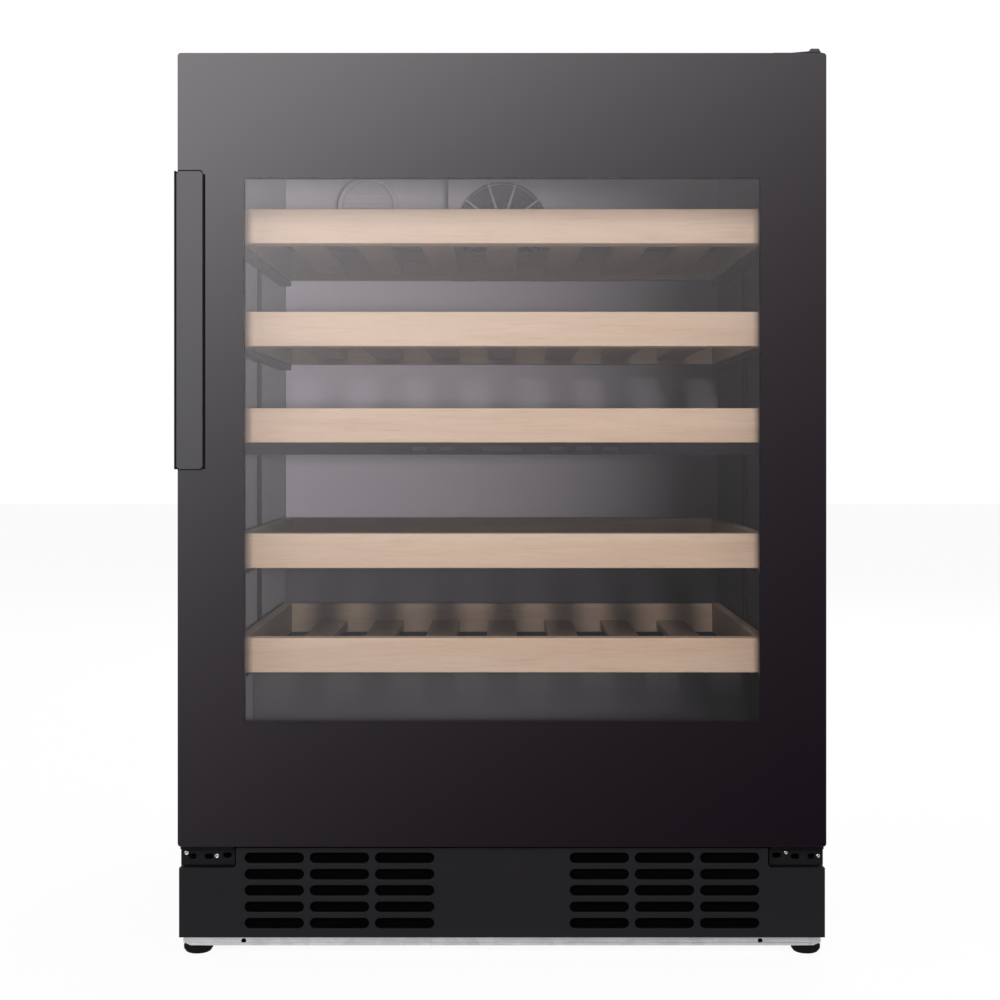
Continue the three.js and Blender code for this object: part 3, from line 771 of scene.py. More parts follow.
def rounded_outline(half, bottom, top, radius, steps=6, middle=0.0):
    """The outline of a rectangle with rounded corners in x and z, and its outward direction, in mm.

    Each corner is a quarter circle; half is half the width.
    """
    quarter = np.linspace(0, np.pi / 2, steps + 1)
    angle = np.concatenate([quarter + k * np.pi / 2 for k in range(4)])
    out = np.stack([np.cos(angle), np.sin(angle)], -1)
    side_x = np.repeat([1, -1, -1, 1], steps + 1)
    side_z = np.repeat([1, 1, -1, -1], steps + 1)
    x = middle + side_x * (half - radius) + radius * out[:, 0]
    z = (bottom + top) / 2 + side_z * ((top - bottom) / 2 - radius) + radius * out[:, 1]
    return np.stack([x, z], -1), out


def carried(outline, out, profile):
    """A profile of (offset outwards, depth) in mm carried round an outline, one row for each point."""
    profile = np.array(profile, float)
    flat = outline[None, :, :] + profile[:, :1, None] * out[None, :, :]
    depth = profile[:, 1:] * np.ones(len(outline))
    return np.stack([flat[..., 0] * MM, depth_y(depth), flat[..., 1] * MM], -1)


def plate(outline, out, depth, edge, steps=3):
    """A plate with the given outline whose edges are rounded by quarter circles of radius edge."""
    turn = np.linspace(0, np.pi / 2, steps + 1)
    front = np.stack([-edge * (1 - np.sin(turn)), depth[0] + edge * (1 - np.cos(turn))], -1)
    back = np.stack([-edge * (1 - np.cos(turn)), depth[1] - edge * (1 - np.sin(turn))], -1)
    return carried(outline, out, np.concatenate([front, back]))


def slot_outline(x, z, length, height, steps=8):
    """A slot with round ends, in millimetres: two half circles joined by straight sides."""
    half_turn = np.linspace(-np.pi / 2, np.pi / 2, steps + 1)
    angle = np.concatenate([half_turn, half_turn + np.pi])
    side = np.repeat([1, -1], steps + 1)
    reach, radius = (length - height) / 2, height / 2
    return np.stack([x + side * reach + radius * np.cos(angle), z + radius * np.sin(angle)], -1)


def circle_outline(x, z, radius, sides=48):
    angle = np.linspace(0, 2 * np.pi, sides, endpoint=False)
    return np.stack([x + radius * np.cos(angle), z + radius * np.sin(angle)], -1)


def pierced_plate(name, outlines, depth, edge=0.5):
    """A plate with holes. The first outline is its rim and the others are holes, in x and z in mm.

    Blender fills a flat curve between its outlines, and gives it thickness and rounded edges. The
    result is turned upright in numpy: x stays, the curve's y becomes z, and its thickness becomes depth.
    """
    curve = bpy.data.curves.new(name, "CURVE")
    curve.dimensions, curve.fill_mode = "2D", "BOTH"
    curve.extrude = (depth[1] - depth[0]) / 2 - edge
    curve.bevel_depth, curve.bevel_resolution, curve.offset = edge, 2, -edge
    for outline in outlines:
        spline = curve.splines.new("POLY")
        spline.points.add(len(outline) - 1)
        flat = np.concatenate([outline, np.zeros((len(outline), 1)), np.ones((len(outline), 1))], 1)
        spline.points.foreach_set("co", flat.ravel())
        spline.use_cyclic_u = True
    source = bpy.data.objects.new(name + "_curve", curve)
    bpy.context.scene.collection.objects.link(source)
    mesh = bpy.data.meshes.new_from_object(source.evaluated_get(bpy.context.evaluated_depsgraph_get()))
    bpy.data.objects.remove(source)
    points = np.zeros(len(mesh.vertices) * 3, np.float32)
    mesh.vertices.foreach_get("co", points)
    points = points.reshape(-1, 3)
    upright = np.stack([points[:, 0] * MM, depth_y(np.mean(depth) + points[:, 2]), points[:, 1] * MM], -1)
    mesh.vertices.foreach_set("co", upright.ravel())
    mesh.materials.clear()
    tidy(mesh, 1e-5)
    return mesh


print("shape helpers ready")

# %% [markdown]
# ## Screws
#
# Sheet-metal screws hold the brackets, covers and fans. A screw with a star socket is a lathe shape
# whose radius changes with the angle inside the socket, so a few dozen faces give head, socket and
# shadow. A texture could draw the socket, but it would stay flat in a close view.


# %% Screws
def screw(x, depth, z, radius, way):
    """A pan-head screw with a six-lobed socket; way is the side of the object that its head looks at."""
    height, socket = radius * 0.62, radius * 0.5
    profile = [
        (0, -height * 0.2),
        (socket * 0.9, -height * 0.25),
        (socket, -height * 0.95),
        (radius * 0.62, -height),
        (radius * 0.86, -height * 0.8),
        (radius, -height * 0.35),
        (radius, 0.3),
        (0, 0.3),
    ]

    def star(angle, along):
        in_socket = np.arange(len(profile))[:, None] < 3
        return np.where(in_socket, 1 + 0.16 * np.cos(6 * angle), 1.0)

    axis, flip = {"front": ("y", 1), "back": ("y", -1), "top": ("z", -1)}[way]
    flipped = [(r, flip * h) for r, h in profile]
    return lathe(flipped, point(x, depth, z), axis, 24, star)


def screws(name, places, radius, way="front", body="cabinet"):
    """A group of equal screws as one piece, from their places in mm."""
    mesh = grid_mesh(name, [screw(*place, radius, way) for place in places], caps=False)
    return add_piece(name, mesh, bright_screw, body)


print("screw ready")

# %% [markdown]
# ## Door
#
# The outer pane stands proud of the frame on all sides, with its corners rounded to 3 mm and its edge
# ground to a small round. It could be a beveled cube, but a cube's bevel gives the corners and the
# edges the same radius. Here the outline is rounded first, and its edge second.

# %% Outer glass
PANE_THICK, PANE_CORNER, PANE_EDGE = 4, 3.0, 0.5
outline, out = rounded_outline(glass_high[0] / MM, glass_low[2] / MM, glass_high[2] / MM, PANE_CORNER)
pane = grid_mesh("outer_pane", [plate(outline, out, (0, PANE_THICK), PANE_EDGE)])
add_piece("outer_pane", pane, door_glass, "door", ["door_outer_glass"])
print("outer pane:", len(pane.polygons), "faces")

# %% [markdown]
# The handle is a folded bar that hooks over the glass edge: a satin face in front, a matt web at the
# left that runs back beside the glass, end caps, and a thin strip on the glass. The web, the caps and
# the strip are near black: painted shade on the bar's side, at its ends and in the gap behind it. One
# profile carried up the door makes the face, and near both ends it is drawn in, which clips its corners.
# The glass doesn't mirror the handle, because its mirror image would double its width.


# %% Handle
EDGE_WEB, END_CAP = 2.0, 0.9
BAR_FRONT, BAR_BACK = -19.9, -16.4
handle_low, handle_high = span("handle")


def clipped_bar(left, right, front, back, clip=2.4):
    """A bar whose section is a rectangle in x and depth, drawn in near both ends by up to clip mm."""
    section = np.array([(left, back), (left, front), (right, front), (right, back)])
    rise = np.array([0, 0.5, 1.0])
    pull = clip * np.array([1.0, 0.45, 0.0])
    bottom, top = handle_low[2] + END_CAP, handle_high[2] - END_CAP
    height = np.concatenate([bottom + clip * rise, top - clip * rise[::-1]])
    pull = np.concatenate([pull, pull[::-1]])[:, None]
    x = section[:, 0] + pull * np.array([1, 1, -1, -1])
    depth = np.tile(section[:, 1], (height.size, 1))
    up = np.tile(height[:, None], len(section))
    return np.stack([x * MM, depth_y(depth), up * MM], -1)


satin_black = painted("satin_black", (0.013, 0.0125, 0.0135), 0.3)
# painted shade: a near-black matt copy of the handle's paint, for its side, its ends and the gap behind it
painted_shade_handle_black = moulded("painted_shade_handle_black", (0.004, 0.0036, 0.0042), 0.7, shine=0.1)
bar = grid_mesh("handle_bar", [clipped_bar(handle_low[0] + EDGE_WEB, handle_high[0], BAR_FRONT, BAR_BACK)])
handle = add_piece("handle_bar", bar, satin_black, "door", ["handle"])
edge = handle.modifiers.new("edge", "BEVEL")
edge.width, edge.segments = 0.35 * MM, 2
edge.limit_method, edge.angle_limit = "ANGLE", np.radians(30)
handle.modifiers.move(1, 0)
ends = (handle_low[2] + 0.8, handle_high[2] - 0.8)
left, right = handle_low[0], handle_high[0]
web_grids = [
    rounded_block((left, left + EDGE_WEB - 0.05), (-20, -0.4), ends, radius=0.7),
    rounded_block((left + EDGE_WEB - 0.2, right - 0.6), (BAR_BACK + 0.1, BAR_BACK + 1.2), ends, radius=0.4),
    # painted shade: a near-black strip on the glass behind the bar stands for the shade in its gap
    rounded_block((left + 4, right - 0.9), (-1.6, -0.1), ends, radius=0.3),
]
cap_width = (left + EDGE_WEB + 1.6, right - 1.6)
for z in (handle_low[2], handle_high[2] - END_CAP):
    cap_depth = (BAR_FRONT + 0.1, BAR_BACK - 0.1)
    web_grids.append(rounded_block(cap_width, cap_depth, (z, z + END_CAP), radius=0.3))
web_mesh = grid_mesh("handle_web_and_painted_shade", web_grids)
web = add_piece("handle_web_and_painted_shade", web_mesh, painted_shade_handle_black, "door")
handle.visible_glossy = web.visible_glossy = False
print("handle:", [round(v) for v in handle_high - handle_low], "mm")

# %% [markdown]
# The seal is a soft hollow strip with a magnet inside. Two bellows let it stretch to the cabinet when
# the door closes, and they are why a real seal shows grooves along its sides. Its section is carried
# round the door, with the corners mitred and welded as on the real one.


# %% Seal
SEAL_HALF = 5.5
SEAL_FRONT, SEAL_DEEP = 42.4, 9.2


def seal_profile(points=40):
    """Half the width over the depth: a little under SEAL_HALF, drawn in by two waves, round at both ends."""
    share = np.linspace(0, 1, points)
    waist = 5.4 - 1.5 * np.sin(2 * np.pi * share) ** 2 - 0.5 * share
    ends = np.sqrt(np.clip(1 - (2 * np.abs(share - 0.5)) ** 12, 0, 1))
    depth = SEAL_FRONT + SEAL_DEEP * share
    right = np.stack([waist * ends, depth], -1)
    left = np.stack([-waist * ends, depth], -1)[::-1]
    return np.concatenate([right, left[1:-1]])


seal_low, seal_high = span("door_gasket")
half, bottom, top = seal_high[0] - SEAL_HALF, seal_low[2] + SEAL_HALF, seal_high[2] - SEAL_HALF
outline, out = rounded_outline(half, bottom, top, 1.5, steps=3)
seal_grid = carried(outline, out, seal_profile())
seal_grid = np.concatenate([seal_grid, seal_grid[:1]])
seal = grid_mesh("door_seal", [seal_grid], caps=False)
add_piece("door_seal", seal, rubber_black, "door", ["door_gasket"], crease=50)
print("seal:", len(seal.polygons), "faces")

# %% [markdown]
# ## Shelves
#
# A shelf is joinery: a front board, two sides, a back, a rail behind the front and seven slats from
# front to back, each with its own rounded edges and its own grain. Merging them into one block would
# lose the fine dark lines where boards meet, so every board is a rounded block. Boards that run across
# and boards that run from front to back are separate pieces, because their grain runs differently.

# %% Shelf boards
SHELF_BODIES = [f"shelf_{i}" for i in range(1, 6)]
SIDE_BOARD = 10
SLATS, SLAT_PITCH, SLAT_WIDTH, SLAT_DROP, SLAT_THICK = 7, 65, 32, 19, 8
RAIL_DEEP = 12


def across_boards(tray_low, tray_high):
    """The back board and the rail behind the front board."""
    inner = tray_high[0] - SIDE_BOARD
    (_, front, bottom), (_, back, top) = tray_low, tray_high
    return [
        rounded_block((-inner, inner), (back - SIDE_BOARD, back), (bottom, top)),
        rounded_block((-inner, inner), (front, front + RAIL_DEEP), (bottom, top - SLAT_DROP - 0.1)),
    ]


def deep_boards(tray_low, tray_high):
    """The two sides and the slats, which lie on the rail and end in the back board."""
    inner = tray_high[0] - SIDE_BOARD
    depth = (tray_low[1], tray_high[1])
    made = [
        rounded_block((-tray_high[0], -inner), depth, (tray_low[2], tray_high[2])),
        rounded_block((inner, tray_high[0]), depth, (tray_low[2], tray_high[2])),
    ]
    slat_z = (tray_high[2] - SLAT_DROP - SLAT_THICK, tray_high[2] - SLAT_DROP)
    for i in range(SLATS):
        x = SLAT_PITCH * (i - (SLATS - 1) / 2)
        slat_depth = (depth[0] + 0.6, depth[1] - SIDE_BOARD + 0.5)
        made.append(rounded_block((x - SLAT_WIDTH / 2, x + SLAT_WIDTH / 2), slat_depth, slat_z, radius=1.2))
    return made


for shelf in SHELF_BODIES:
    low, high = span(shelf + "_tray")
    board = rounded_block(*zip(*span(shelf + "_front")), radius=1.0, steps=4)
    parts = [
        ("front_board", [board], beech_across, [shelf + "_front"]),
        ("sides_and_slats", deep_boards(low, high), beech_deep, [shelf + "_tray"]),
        ("back_and_rail", across_boards(low, high), beech_back, []),
    ]
    for part, grids, wood, replaced in parts:
        name = f"{shelf}_{part}"
        add_piece(name, grid_mesh(name, grids), wood, shelf, replaced)
    heights = (low[2] + 9, low[2] + 24)
    joints = [(side * 249, high[1] - 0.3, z) for side in (-1, 1) for z in heights]
    screws(f"{shelf}_back_screws", joints, 2.6, "back", shelf)
print("boards of", len(SHELF_BODIES), "shelves")

# %% [markdown]
# ## Lower panel
#
# The panel under the door is a moulded plate with thirty air slots and a notch at each upper corner,
# where a hinge bracket sits. A flat curve with holes in it makes such a plate: Blender fills it,
# thickens it and rounds all its edges at once, which would take a long chain of booleans otherwise.

# %% Panel with air slots
SLOT_COLUMNS = [89.6, 149.6, 209.6]
SLOT_ROWS = [90.8, 75.7, 60.8, 45.7, 30.7]
SLOT_SIZE = (54.5, 9.6)
NOTCH_X, NOTCH_Z, NOTCH_RADIUS = 245.0, 81.6, 4.0

grille_low, grille_high = span("front_grille")
PANEL_HALF = glass_high[0] / MM - 0.1


def panel_outline(steps=6):
    """The rim in x and z: a rectangle with a notch at each top corner, whose inner corner is round."""
    turn = np.linspace(0, np.pi / 2, steps + 1)
    inner = NOTCH_X + NOTCH_RADIUS * (1 - np.cos(turn))
    lower = NOTCH_Z + NOTCH_RADIUS * (1 - np.sin(turn))
    side = np.stack([inner, lower], -1)
    right = [(PANEL_HALF, grille_low[2]), (PANEL_HALF, NOTCH_Z)]
    right = np.concatenate([right, side[::-1], [(NOTCH_X, grille_high[2])]])
    left = right[::-1] * (-1, 1)
    return np.concatenate([right, left])


holes = [slot_outline(s * x, z, *SLOT_SIZE) for s in (-1, 1) for x in SLOT_COLUMNS for z in SLOT_ROWS]
panel_mesh = pierced_plate("lower_panel", [panel_outline(), *holes], (6, 9), edge=0.7)
add_piece("lower_panel", panel_mesh, panel_black, "cabinet", ["front_grille"])
print("lower panel:", len(holes), "slots,", len(panel_mesh.polygons), "faces")


# %% [markdown]
# The panel isn't flat: its rim is folded back all round, which stiffens it and hides the cut edges. The
# folds could be extruded from the plate, but thin rounded blocks close behind it look the same and each
# keeps its own depth.


# %% Panel returns
RETURN_THICK = 2.0
RETURN_FRONT, RETURN_BACK = 8.8, 14
RETURN_BOTTOM, RETURN_TOP = 17.6, 100.4


def fold(side, first, second, depth, z):
    """A wall of the folded rim at one side (-1 or 1), between two distances from the middle."""
    return rounded_block(sorted((side * first, side * second)), depth, z, radius=0.5)


under, beside = NOTCH_Z - 0.2, NOTCH_X - 0.2
folds = [fold(s, PANEL_HALF, PANEL_HALF - 2.4, (8.2, 51), (RETURN_BOTTOM, 81)) for s in (-1, 1)]
for s in (-1, 1):
    # painted shade: the fold under each notch is a real return, run 48 mm back as a dark ledge for the shade
    # in the gap below the bracket
    folds.append(fold(s, NOTCH_X - 1, PANEL_HALF, (RETURN_FRONT, 48), (under - RETURN_THICK, under)))
    folds.append(fold(s, beside - RETURN_THICK, beside, (RETURN_FRONT, 13.8), (NOTCH_Z - 1, RETURN_TOP)))
folds.append(fold(1, -NOTCH_X, NOTCH_X, (9, RETURN_BACK), (RETURN_TOP - RETURN_THICK, RETURN_TOP)))
folds.append(fold(1, -290, 290, (9, RETURN_BACK), (RETURN_BOTTOM, RETURN_BOTTOM + RETURN_THICK)))
folds_mesh = grid_mesh("lower_panel_returns", folds)
add_piece("lower_panel_returns", folds_mesh, panel_black, "cabinet")
print("panel returns:", len(folds), "walls")

# %% [markdown]
# Behind the slots hangs a dust filter, a black pad that can be washed. Its near-black colour is painted
# shade: it is what makes the slots look black, since without it light would fall on the fan and the
# pipes behind.

# %% Dust filter
# painted shade: a near-black finish for the pads behind the slots and the plugs in the base plate's holes
painted_shade_black = moulded("painted_shade_black", (0.0012, 0.001, 0.0013), 0.95, grain=260, depth=0.3, shine=0.02)
pads = [rounded_block(sorted((s * 55, s * 242)), (11.5, 15.5), (22, 97), radius=1.5) for s in (-1, 1)]
add_piece("dust_filter_painted_shade", grid_mesh("dust_filter_painted_shade", pads), painted_shade_black, "cabinet")
print("dust filter: two pads")

# %% [markdown]
# ## Brackets, base and feet
#
# The brackets in the panel's notches are folded sheet steel from the CAD frame, and get their screws
# here. The base is a galvanised pan with a hemmed lip, because a bare sheet edge would cut a hand. The
# hem could be a bevel on the pan, but two thin rounded blocks in front of its lip keep the pan's holes.

# %% Bracket screws and base lip
BRACKET_FACE = 14
PLATE_TOP = 832.8
BASE_HOLE_X, BASE_HOLE_Z = 239, 12.2

screws("spare_bracket_screws", [(-263.5, BRACKET_FACE, 91), (-291.5, BRACKET_FACE, 94)], 2.3)
screws("hinge_bracket_screws", [(262.5, BRACKET_FACE, 94), (292.3, BRACKET_FACE, 91)], 1.9)
screws("upper_plate_screws", [(260, 74, PLATE_TOP), (283, 74, PLATE_TOP), (272, 104, PLATE_TOP)], 3.4, "top")
base_low, base_high = span("base_plate")
lip = base_low[1]
hem = [
    rounded_block((-286, 286), (lip - 0.5, lip), (base_low[2] + 0.1, base_low[2] + 2.8), radius=0.24),
    rounded_block((-294, 294), (lip - 0.3, lip), (base_high[2] - 1.6, base_high[2] - 0.1), radius=0.14),
]
add_piece("base_plate_hem", grid_mesh("base_plate_hem", hem), zinc_steel, "cabinet")
# painted shade: near-black plugs fill the base plate's two holes, which are in shade under the cabinet
plug_profile = [(0, 0.5), (1.6, 0.5), (2.2, 1.0), (2.2, 2.6), (0, 2.6)]
plugs = [lathe(plug_profile, point(x, lip, BASE_HOLE_Z), sides=20) for x in (-BASE_HOLE_X, BASE_HOLE_X)]
plugs_mesh = grid_mesh("base_plate_painted_shade_plugs", plugs, caps=False)
add_piece("base_plate_painted_shade_plugs", plugs_mesh, painted_shade_black, "cabinet")
print("base plate: lip at depth", round(lip, 1))

# %% [markdown]
# The feet are rubber pads on threaded stems, which turn to level the cooler. A stem could be a smooth
# rod with a bump for its thread, but a lathe whose radius follows a helix gives a real one.


# %% Feet
PAD_HEIGHT, PAD_RADIUS = 7.2, 13.5
STEM_BOTTOM, STEM_TOP = 5.9, 34.0
STEM_RADIUS, PITCH = 5.0, 1.5


def foot_pad(x, depth):
    """A rubber pad with a rounded foot and a knurled edge: its radius has 30 small waves."""
    radius, height = PAD_RADIUS, PAD_HEIGHT
    profile = [
        (0, 0),
        (radius - 3.2, 0),
        (radius - 2.2, 0.5),
        (radius - 0.3, 3.0),
        (radius, 3.8),
        (radius, height - 0.9),
        (radius - 0.3, height - 0.3),
        (radius - 1.0, height),
        (5.4, height),
        (5.4, height - 1.5),
        (0, height - 1.5),
    ]

    def knurl(angle, along):
        return 1 - 0.012 * np.clip((along - 3) / 0.8, 0, 1) * (1 + np.cos(30 * angle)) / 2

    return lathe(profile, point(x, depth, 0), "z", 120, knurl)


def foot_stem(x, depth):
    """A threaded stem: its radius is a sharp wave of height less angle, so the crest climbs in a helix."""
    rise = np.arange(STEM_BOTTOM, STEM_TOP, PITCH / 6)
    thread_points = [(STEM_RADIUS, z) for z in rise]
    profile = [(0, STEM_BOTTOM), *thread_points, (STEM_RADIUS - 1, STEM_TOP), (0, STEM_TOP)]

    def thread(angle, along):
        phase = (along / PITCH - angle / (2 * np.pi)) % 1.0
        return 1 - 0.12 * np.abs(2 * phase - 1)

    return lathe(profile, point(x, depth, 0), "z", 30, thread)


for corner in ("front_left", "front_right", "rear_left", "rear_right"):
    foot_low, foot_high = span(corner + "_foot")
    x, depth = (foot_low[:2] + foot_high[:2]) / 2
    pad = grid_mesh(corner + "_pad", [foot_pad(x, depth)], caps=False)
    add_piece(corner + "_pad", pad, foot_black, corner + "_foot", [corner + "_foot"])
    stem = grid_mesh(corner + "_stem", [foot_stem(x, depth)], caps=False)
    add_piece(corner + "_stem", stem, zinc_steel, corner + "_foot")
print("feet: four pads on threaded stems")

# %% [markdown]
# ## Cold space
#
# The liner is one sheet of plastic drawn over a mould, so all its corners are round, and it has a step
# at the bottom where the compressor sits. A box with beveled edges would do for a plain room. With the
# step it is clearer to carry a thin section along two rounded outlines, and to close it with sheets.


# %% Liner
def shell(outline, out, front, back, wall=2.0):
    """A wall that follows an outline: its section goes along the inside and comes back outside."""
    section = [
        (0, back),
        (0, front + 0.8),
        (0.5, front + 0.1),
        (1.2, front),
        (wall, front + 0.6),
        (wall, back),
        (0, back),
    ]
    return carried(outline, out, section)


LINER_RADIUS, LINER_WALL, STEP_FRONT, STEP_TOP = 14, 2, 210, 236
liner_low, liner_high = span("inner_liner")
room = liner_high[0] - LINER_WALL
floor_z, ceiling_z = liner_low[2] + LINER_WALL, liner_high[2] - LINER_WALL
rear = liner_high[1] - LINER_WALL
liner_grids = [
    shell(*rounded_outline(room, floor_z, ceiling_z, LINER_RADIUS), liner_low[1], STEP_FRONT + 1),
    shell(*rounded_outline(room, STEP_TOP, ceiling_z, LINER_RADIUS), STEP_FRONT, rear + 1),
]
sheets = [
    rounded_block((-room, room), (STEP_FRONT, STEP_FRONT + LINER_WALL), (floor_z, STEP_TOP), radius=0.9),
    rounded_block((-room, room), (STEP_FRONT, rear), (STEP_TOP - LINER_WALL, STEP_TOP), radius=0.9),
    rounded_block((-room, room), (rear, rear + LINER_WALL), (STEP_TOP, ceiling_z), radius=0.9),
]
liner_mesh = grid_mesh("liner_shell", liner_grids, caps=False)
liner = add_piece("liner_shell", liner_mesh, liner_grey, "cabinet", ["inner_liner"])
step = add_piece("liner_step", grid_mesh("liner_step", sheets), liner_black, "cabinet")
light_inside(liner, step)
print("liner: corners of radius", LINER_RADIUS, "mm")

# %% [markdown]
# The fan hides behind a square cover with a round guard of fine rings, close enough to keep a finger
# out. The rings could be one sheet with ring-shaped holes, but moulded ones are round in section, so
# each is a small circle turned about the fan's axis, and flat ribs hold them from behind.


# %% Fan cover
def turned(points, angle, x, z):
    """Turns points about an axis that runs from front to back through x and z, given in millimetres."""
    centre = np.array([x, 0, z]) * MM
    c, s = np.cos(angle), np.sin(angle)
    matrix = np.array([[c, 0, s], [0, 1, 0], [-s, 0, c]])
    return (points - centre) @ matrix.T + centre


def ring(x, z, radius, depth, thick):
    """A ring of round section: a small circle turned about the axis."""
    turn = np.linspace(0, 2 * np.pi, 9)
    profile = np.stack([radius + thick / 2 * np.cos(turn), depth + thick / 2 * np.sin(turn)], -1)
    return lathe(profile, point(x, 0, z), sides=72)


GUARD_RADIUS, GUARD_RIBS = 54, 10
RING_RADII = range(12, GUARD_RADIUS, 4)
cover_low, cover_high = span("fan_cover")
fan_x, _, fan_z = (cover_low + cover_high) / 2
cover_half = (cover_high[0] - cover_low[0]) / 2
square, out = rounded_outline(cover_half, cover_low[2], cover_high[2], 7, middle=fan_x)
face_outlines = [square, circle_outline(fan_x, fan_z, GUARD_RADIUS, 72)]
face_mesh = pierced_plate("fan_cover_face", face_outlines, (cover_low[1], cover_low[1] + 2.4), edge=0.8)
cover_face = add_piece("fan_cover_face", face_mesh, wall_grey_painted_shade, "cabinet", ["fan_cover"])
guard = [ring(fan_x, fan_z, radius, cover_low[1] + 1.4, 1.7) for radius in RING_RADII]
rib_depth = (cover_low[1] + 0.3, cover_low[1] + 3.0)
rib = rounded_block((fan_x - 1.3, fan_x + 1.3), rib_depth, (fan_z + 8, fan_z + GUARD_RADIUS + 1), radius=0.5)
rib_angles = [np.radians((i + 0.5) * 360 / GUARD_RIBS) for i in range(GUARD_RIBS)]
guard_ribs = [turned(rib, angle, fan_x, fan_z) for angle in rib_angles]
hub_profile = [(0, 0.6), (7.6, 0.7), (8.6, 1.4), (8.8, 3.4), (0, 3.4)]
hub = lathe(hub_profile, point(fan_x, cover_low[1], fan_z), sides=40)
rings_mesh = grid_mesh("fan_guard_rings", guard, caps=False)
rings = add_piece("fan_guard_rings", rings_mesh, plastic_black, "cabinet", crease=50)
spokes_mesh = grid_mesh("fan_guard_ribs", guard_ribs + [hub])
spokes = add_piece("fan_guard_ribs", spokes_mesh, wall_grey_painted_shade, "cabinet")
walls = shell(square - out, out, cover_low[1] + 1.6, cover_high[1], wall=0.9)
wall_mesh = grid_mesh("fan_cover_walls", [walls], caps=False)
cover_walls = add_piece("fan_cover_walls", wall_mesh, wall_grey_painted_shade, "cabinet")
light_inside(cover_face, rings, spokes, cover_walls)
print("fan guard:", len(RING_RADII), "rings and", GUARD_RIBS, "ribs")


# %% [markdown]
# At the left of the fan a round cap holds the charcoal filter, and turns a quarter to come off. Its
# louvres could be cut through it, but slats laid across an open rim give the same slots more simply.


# %% Filter cap
LOUVRE_REACH, LOUVRE_PITCH, LOUVRE_HALF = 29.5, 6, 1.6
LOUVRE_TOP = 24


def louvre_blocks(x, front, z):
    """The louvres: slats across the round opening, each as long as the circle's chord at its height."""
    heights = np.arange(-LOUVRE_TOP, LOUVRE_TOP + 1, LOUVRE_PITCH)
    chords = np.sqrt(LOUVRE_REACH**2 - heights**2)
    depth = (front + 0.8, front + 3.0)
    return [
        rounded_block((x - c, x + c), depth, (z + h - LOUVRE_HALF, z + h + LOUVRE_HALF), radius=0.7)
        for h, c in zip(heights, chords)
    ]


def cap_rim(radius):
    """The cap's section as (radius, depth) pairs: a rim round in front, and a closed floor behind it."""
    inner = [(-5.5, 4.0), (-5.5, 0.6), (-5.0, 0.1)]
    outer = [(-1.4, 0.0), (-0.4, 0.6), (0, 1.6), (0, 7.0)]
    rim = [(radius + step, depth) for step, depth in inner + outer]
    return [*rim, (0, 7.0), (0, 4.0), rim[0]]


cap_low, cap_high = span("filter_cap")
cap_x, _, cap_z = (cap_low + cap_high) / 2
cap_radius = (cap_high[0] - cap_low[0]) / 2
rim_grid = lathe(cap_rim(cap_radius), point(cap_x, cap_low[1], cap_z), sides=96)
cap_mesh = grid_mesh("filter_cap_louvred", [rim_grid], caps=False)
cap = add_piece("filter_cap_louvred", cap_mesh, wall_grey_painted_shade, "filter_cap", ["filter_cap"])
louvre_grids = louvre_blocks(cap_x, cap_low[1], cap_z)
louvres_mesh = grid_mesh("filter_cap_louvres", louvre_grids)
louvres = add_piece("filter_cap_louvres", louvres_mesh, wall_grey_painted_shade, "filter_cap")
light_inside(cap, louvres)
print("filter cap:", len(louvre_grids), "louvres, radius", round(cap_radius, 2), "mm")

# %% [markdown]
# ## Fans
#
# A fan's blade is twisted: steep at the hub, where it moves slowly, and flatter at the tip. It could be
# a plane with a Simple Deform twist, but the formula is as short: the chord of each section is turned by
# an angle that falls with the radius.


# %% Rotors
HUB_DEEP, SHAFT_RADIUS, BLADES = 9.5, 2.5, 7


def blade(x, z, hub, tip, depth, chord, start, steps=14, round_steps=16):
    """One blade as a tube of thin ellipses: along the radius their angle falls and their chord grows."""
    share = np.linspace(0, 1, steps)[:, None]
    turn = np.linspace(0, 2 * np.pi, round_steps, endpoint=False)[None, :]
    radius = hub - 1.5 + (tip - hub + 1.5) * share
    width = chord * (0.8 + 0.3 * np.sin(np.pi * share * 0.9)) * np.clip(8 * (1.02 - share), 0.3, 1) ** 0.5
    pitch = np.radians(52 - 24 * share)
    along, thick = np.cos(turn) * width / 2, np.sin(turn) * 0.8
    sideways = along * np.cos(pitch) - thick * np.sin(pitch)
    forwards = along * np.sin(pitch) + thick * np.cos(pitch)
    angle = start + sideways / radius
    points = [x + radius * np.cos(angle), depth + forwards, z + radius * np.sin(angle)]
    return np.stack([points[0] * MM, depth_y(points[1]), points[2] * MM], -1)


def rotor(name, node, hub, shaft, chord):
    """A domed hub on a shaft, with its blades."""
    low, high = span(node)
    x, _, z = (low + high) / 2
    tip = (high[0] - low[0]) / 2
    front = low[1] + 0.8
    dome = [(0, 0), (hub * 0.7, 0.3), (hub - 0.6, 1.2), (hub, 2.6), (hub, HUB_DEEP)]
    profile = [*dome, (SHAFT_RADIUS, HUB_DEEP), (SHAFT_RADIUS, shaft), (0, shaft)]
    grids = [lathe(profile, point(x, front, z), sides=48)]
    starts = 2 * np.pi * np.arange(BLADES) / BLADES
    grids += [blade(x, z, hub, tip - 1.5, front + 5, chord, start) for start in starts]
    mesh = grid_mesh(name, grids)
    return add_piece(name, mesh, plastic_black, node, [node], crease=40)


rotor("circulation_rotor", "fan_rotor", 15, 18, 13)
rotor("cooling_rotor", "cooling_fan_rotor", 20, 16, 16)
print("rotors: two, with", BLADES, "twisted blades each")

# %% [markdown]
# ## Back
#
# The back is a zinc-coated sheet with pressed ribs, which stop so large a sheet from drumming, and a
# lower cover with vents that comes off to reach the compressor. A rib could be a bump in the material,
# but it shows in outline at the edges, so the sheet is a grid whose depth follows the ribs.


